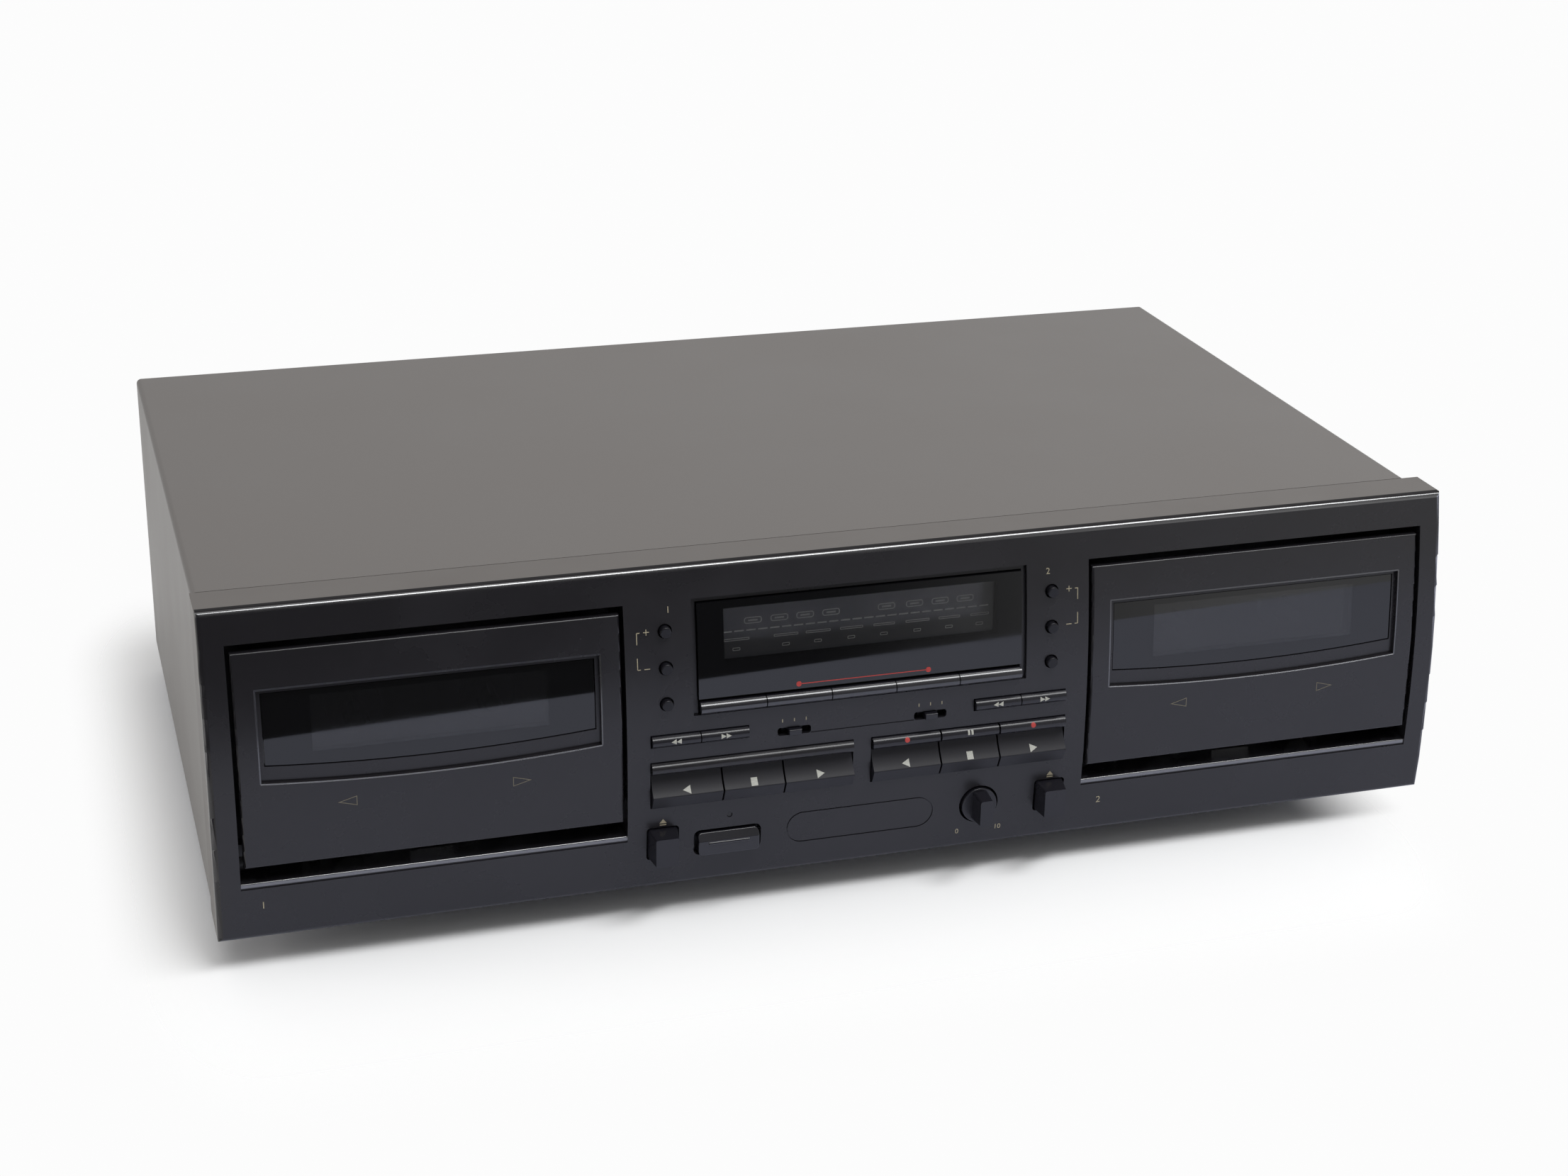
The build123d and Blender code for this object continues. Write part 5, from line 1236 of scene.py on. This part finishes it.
class DECK_OT_key_print(bpy.types.Operator):
    """Prints the transport symbols on the keys"""

    bl_idname = "deck.key_print"
    bl_label = "Key print"

    def execute(self, context):
        finishes = context.scene.deck_finishes
        marks = context.scene.deck_marks
        white = ink("Key ink", finishes.symbols)
        red = ink("Red ink", finishes.accent)
        length = marks.symbol_length / MM
        tall = marks.symbol_height / MM
        for deck, side in ((1, -1), (2, 1)):
            centre = side * LARGE_PLACE
            for use, way in (("reverse", -1), ("play", 1)):
                place = centre + way * LARGE_STEP
                mark = arrow(place, LARGE_HEIGHT, length, tall, way)
                self.mark_key(f"deck_{deck}_{use}_key", [mark], white)
            square = flat_panel(centre, LARGE_HEIGHT, (tall * 0.95, tall * 0.95))
            self.mark_key(f"deck_{deck}_stop_key", [square], white)
            for use, way in (("rewind", -1), ("forward", 1)):
                place = side * WINDING_PLACE + way * WINDING_STEP
                pair = [
                    arrow(place + shift, WINDING_HEIGHT, WINDING_MARK, WINDING_MARK, way)
                    for shift in (-WINDING_MARK / 2, WINDING_MARK / 2)
                ]
                self.mark_key(f"deck_{deck}_{use}_key", pair, white)
        self.mark_key("record_key", [flat_round(RECORD_PLACE, NARROW_HEIGHT, 0.85)], red)
        bars = [flat_panel(PAUSE_PLACE + shift, NARROW_HEIGHT, (0.7, 1.5)) for shift in (-0.6, 0.6)]
        self.mark_key("pause_key", bars, white)
        self.mark_key("mute_key", [flat_round(MUTE_PLACE, NARROW_HEIGHT, 0.85)], red)
        return {"FINISHED"}

    def mark_key(self, name, shapes, material):
        """Prints shapes on the key of that name."""
        print_on(shapes, f"{name}_print", name, name, material, cuts=KEY_CUTS)


# Marks of the display in mm: places of the upper frames, ends of the lower frames, and the rows
UPPER_FRAMES = (-34.9, -26.0, -17.3, -8.5, 10.5, 20.2, 29.1, 37.8)
UPPER_HEIGHT = 87.2
SCALE_START = -43.5
SCALE_STEP = 4.0
SCALE_HEIGHT = 83.9
SCALE_MARKS = 23
LOWER_FRAMES = ((-44.6, -36.0), (-27.8, -19.5), (-17.0, -8.5), (-5.3, 2.6))
LOWER_FRAMES += ((6.2, 13.6), (17.3, 25.6), (28.8, 36.3), (40.0, 46.5))
LOWER_HEIGHT = 81.0
DOT_HEIGHT = 77.6

# The red line on the display window in mm: its middle, height, length and width, and its dots
RED_MIDDLE = 0.35
RED_HEIGHT = 67.1
RED_SIZE = (43.0, 0.3)
RED_ENDS = (-21.8, 22.5)
RED_DOT = 0.9


class DECK_OT_display(bpy.types.Operator):
    """Draws the unlit segments on the tube and the red line on the display window"""

    bl_idname = "deck.display"
    bl_label = "Display"

    def execute(self, context):
        finishes = context.scene.deck_finishes
        shapes = []
        for place in UPPER_FRAMES:
            shapes.append(flat_panel(place, UPPER_HEIGHT, (6.0, 2.3), corner=0.9, outline=0.35))
            shapes.append(flat_panel(place, UPPER_HEIGHT, (3.2, 0.55)))
        for step in range(SCALE_MARKS):
            shapes.append(flat_panel(SCALE_START + SCALE_STEP * step, SCALE_HEIGHT, (3.2, 0.5)))
        for start, end in LOWER_FRAMES:
            middle = (start + end) / 2
            for height, size in ((LOWER_HEIGHT, (end - start, 0.9)), (DOT_HEIGHT, (2.6, 1.1))):
                shapes.append(flat_panel(middle, height, size, corner=0.3, outline=0.25))
        phosphor = ink("Unlit phosphor", (0.42, 0.42, 0.41))
        print_on(
            shapes, "display_segments", "display_board", "cabinet", phosphor, 0.04
        )
        red = ink("Window red", finishes.accent)
        shapes = [flat_panel(RED_MIDDLE, RED_HEIGHT, RED_SIZE)]
        for place in RED_ENDS:
            shapes.append(flat_round(place, RED_HEIGHT, RED_DOT))
        print_on(shapes, "window_print", "display_window", "cabinet", red)
        return {"FINISHED"}


OPERATORS = (
    DECK_OT_stage,
    DECK_OT_case,
    DECK_OT_front,
    DECK_OT_keys,
    DECK_OT_windows,
    DECK_OT_mechanism,
    DECK_OT_boards,
    DECK_OT_screws,
    DECK_OT_panel_print,
    DECK_OT_door_print,
    DECK_OT_key_print,
    DECK_OT_display,
)


class DECK_PT_sidebar(bpy.types.Panel):
    """Lists the deck's sizes, colours and building steps"""

    bl_idname = "DECK_PT_sidebar"
    bl_label = "Cassette Deck"
    bl_space_type = "VIEW_3D"
    bl_region_type = "UI"
    bl_category = "Cassette Deck"

    def draw(self, context):
        layout = self.layout
        for settings in (
            context.scene.deck_finishes,
            context.scene.deck_marks,
            context.scene.deck_stage,
        ):
            box = layout.box()
            for name in settings.__annotations__:
                box.prop(settings, name)
        for operator in OPERATORS:
            layout.operator(operator.bl_idname)


SETTINGS = (
    ("deck_finishes", DeckFinishes),
    ("deck_marks", DeckMarks),
    ("deck_stage", DeckStage),
)


def register():
    for name, group in SETTINGS:
        bpy.utils.register_class(group)
        setattr(bpy.types.Scene, name, PointerProperty(type=group))
    for operator in OPERATORS:
        bpy.utils.register_class(operator)
    bpy.utils.register_class(DECK_PT_sidebar)


def unregister():
    bpy.utils.unregister_class(DECK_PT_sidebar)
    for operator in reversed(OPERATORS):
        bpy.utils.unregister_class(operator)
    for name, group in reversed(SETTINGS):
        delattr(bpy.types.Scene, name)
        bpy.utils.unregister_class(group)


def main():
    """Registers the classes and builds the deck."""
    register()
    bpy.ops.deck.stage()
    bpy.ops.deck.case()
    bpy.ops.deck.front()
    bpy.ops.deck.keys()
    bpy.ops.deck.windows()
    bpy.ops.deck.mechanism()
    bpy.ops.deck.boards()
    bpy.ops.deck.screws()
    bpy.ops.deck.panel_print()
    bpy.ops.deck.door_print()
    bpy.ops.deck.key_print()
    bpy.ops.deck.display()


if __name__ == "__main__":
    main()
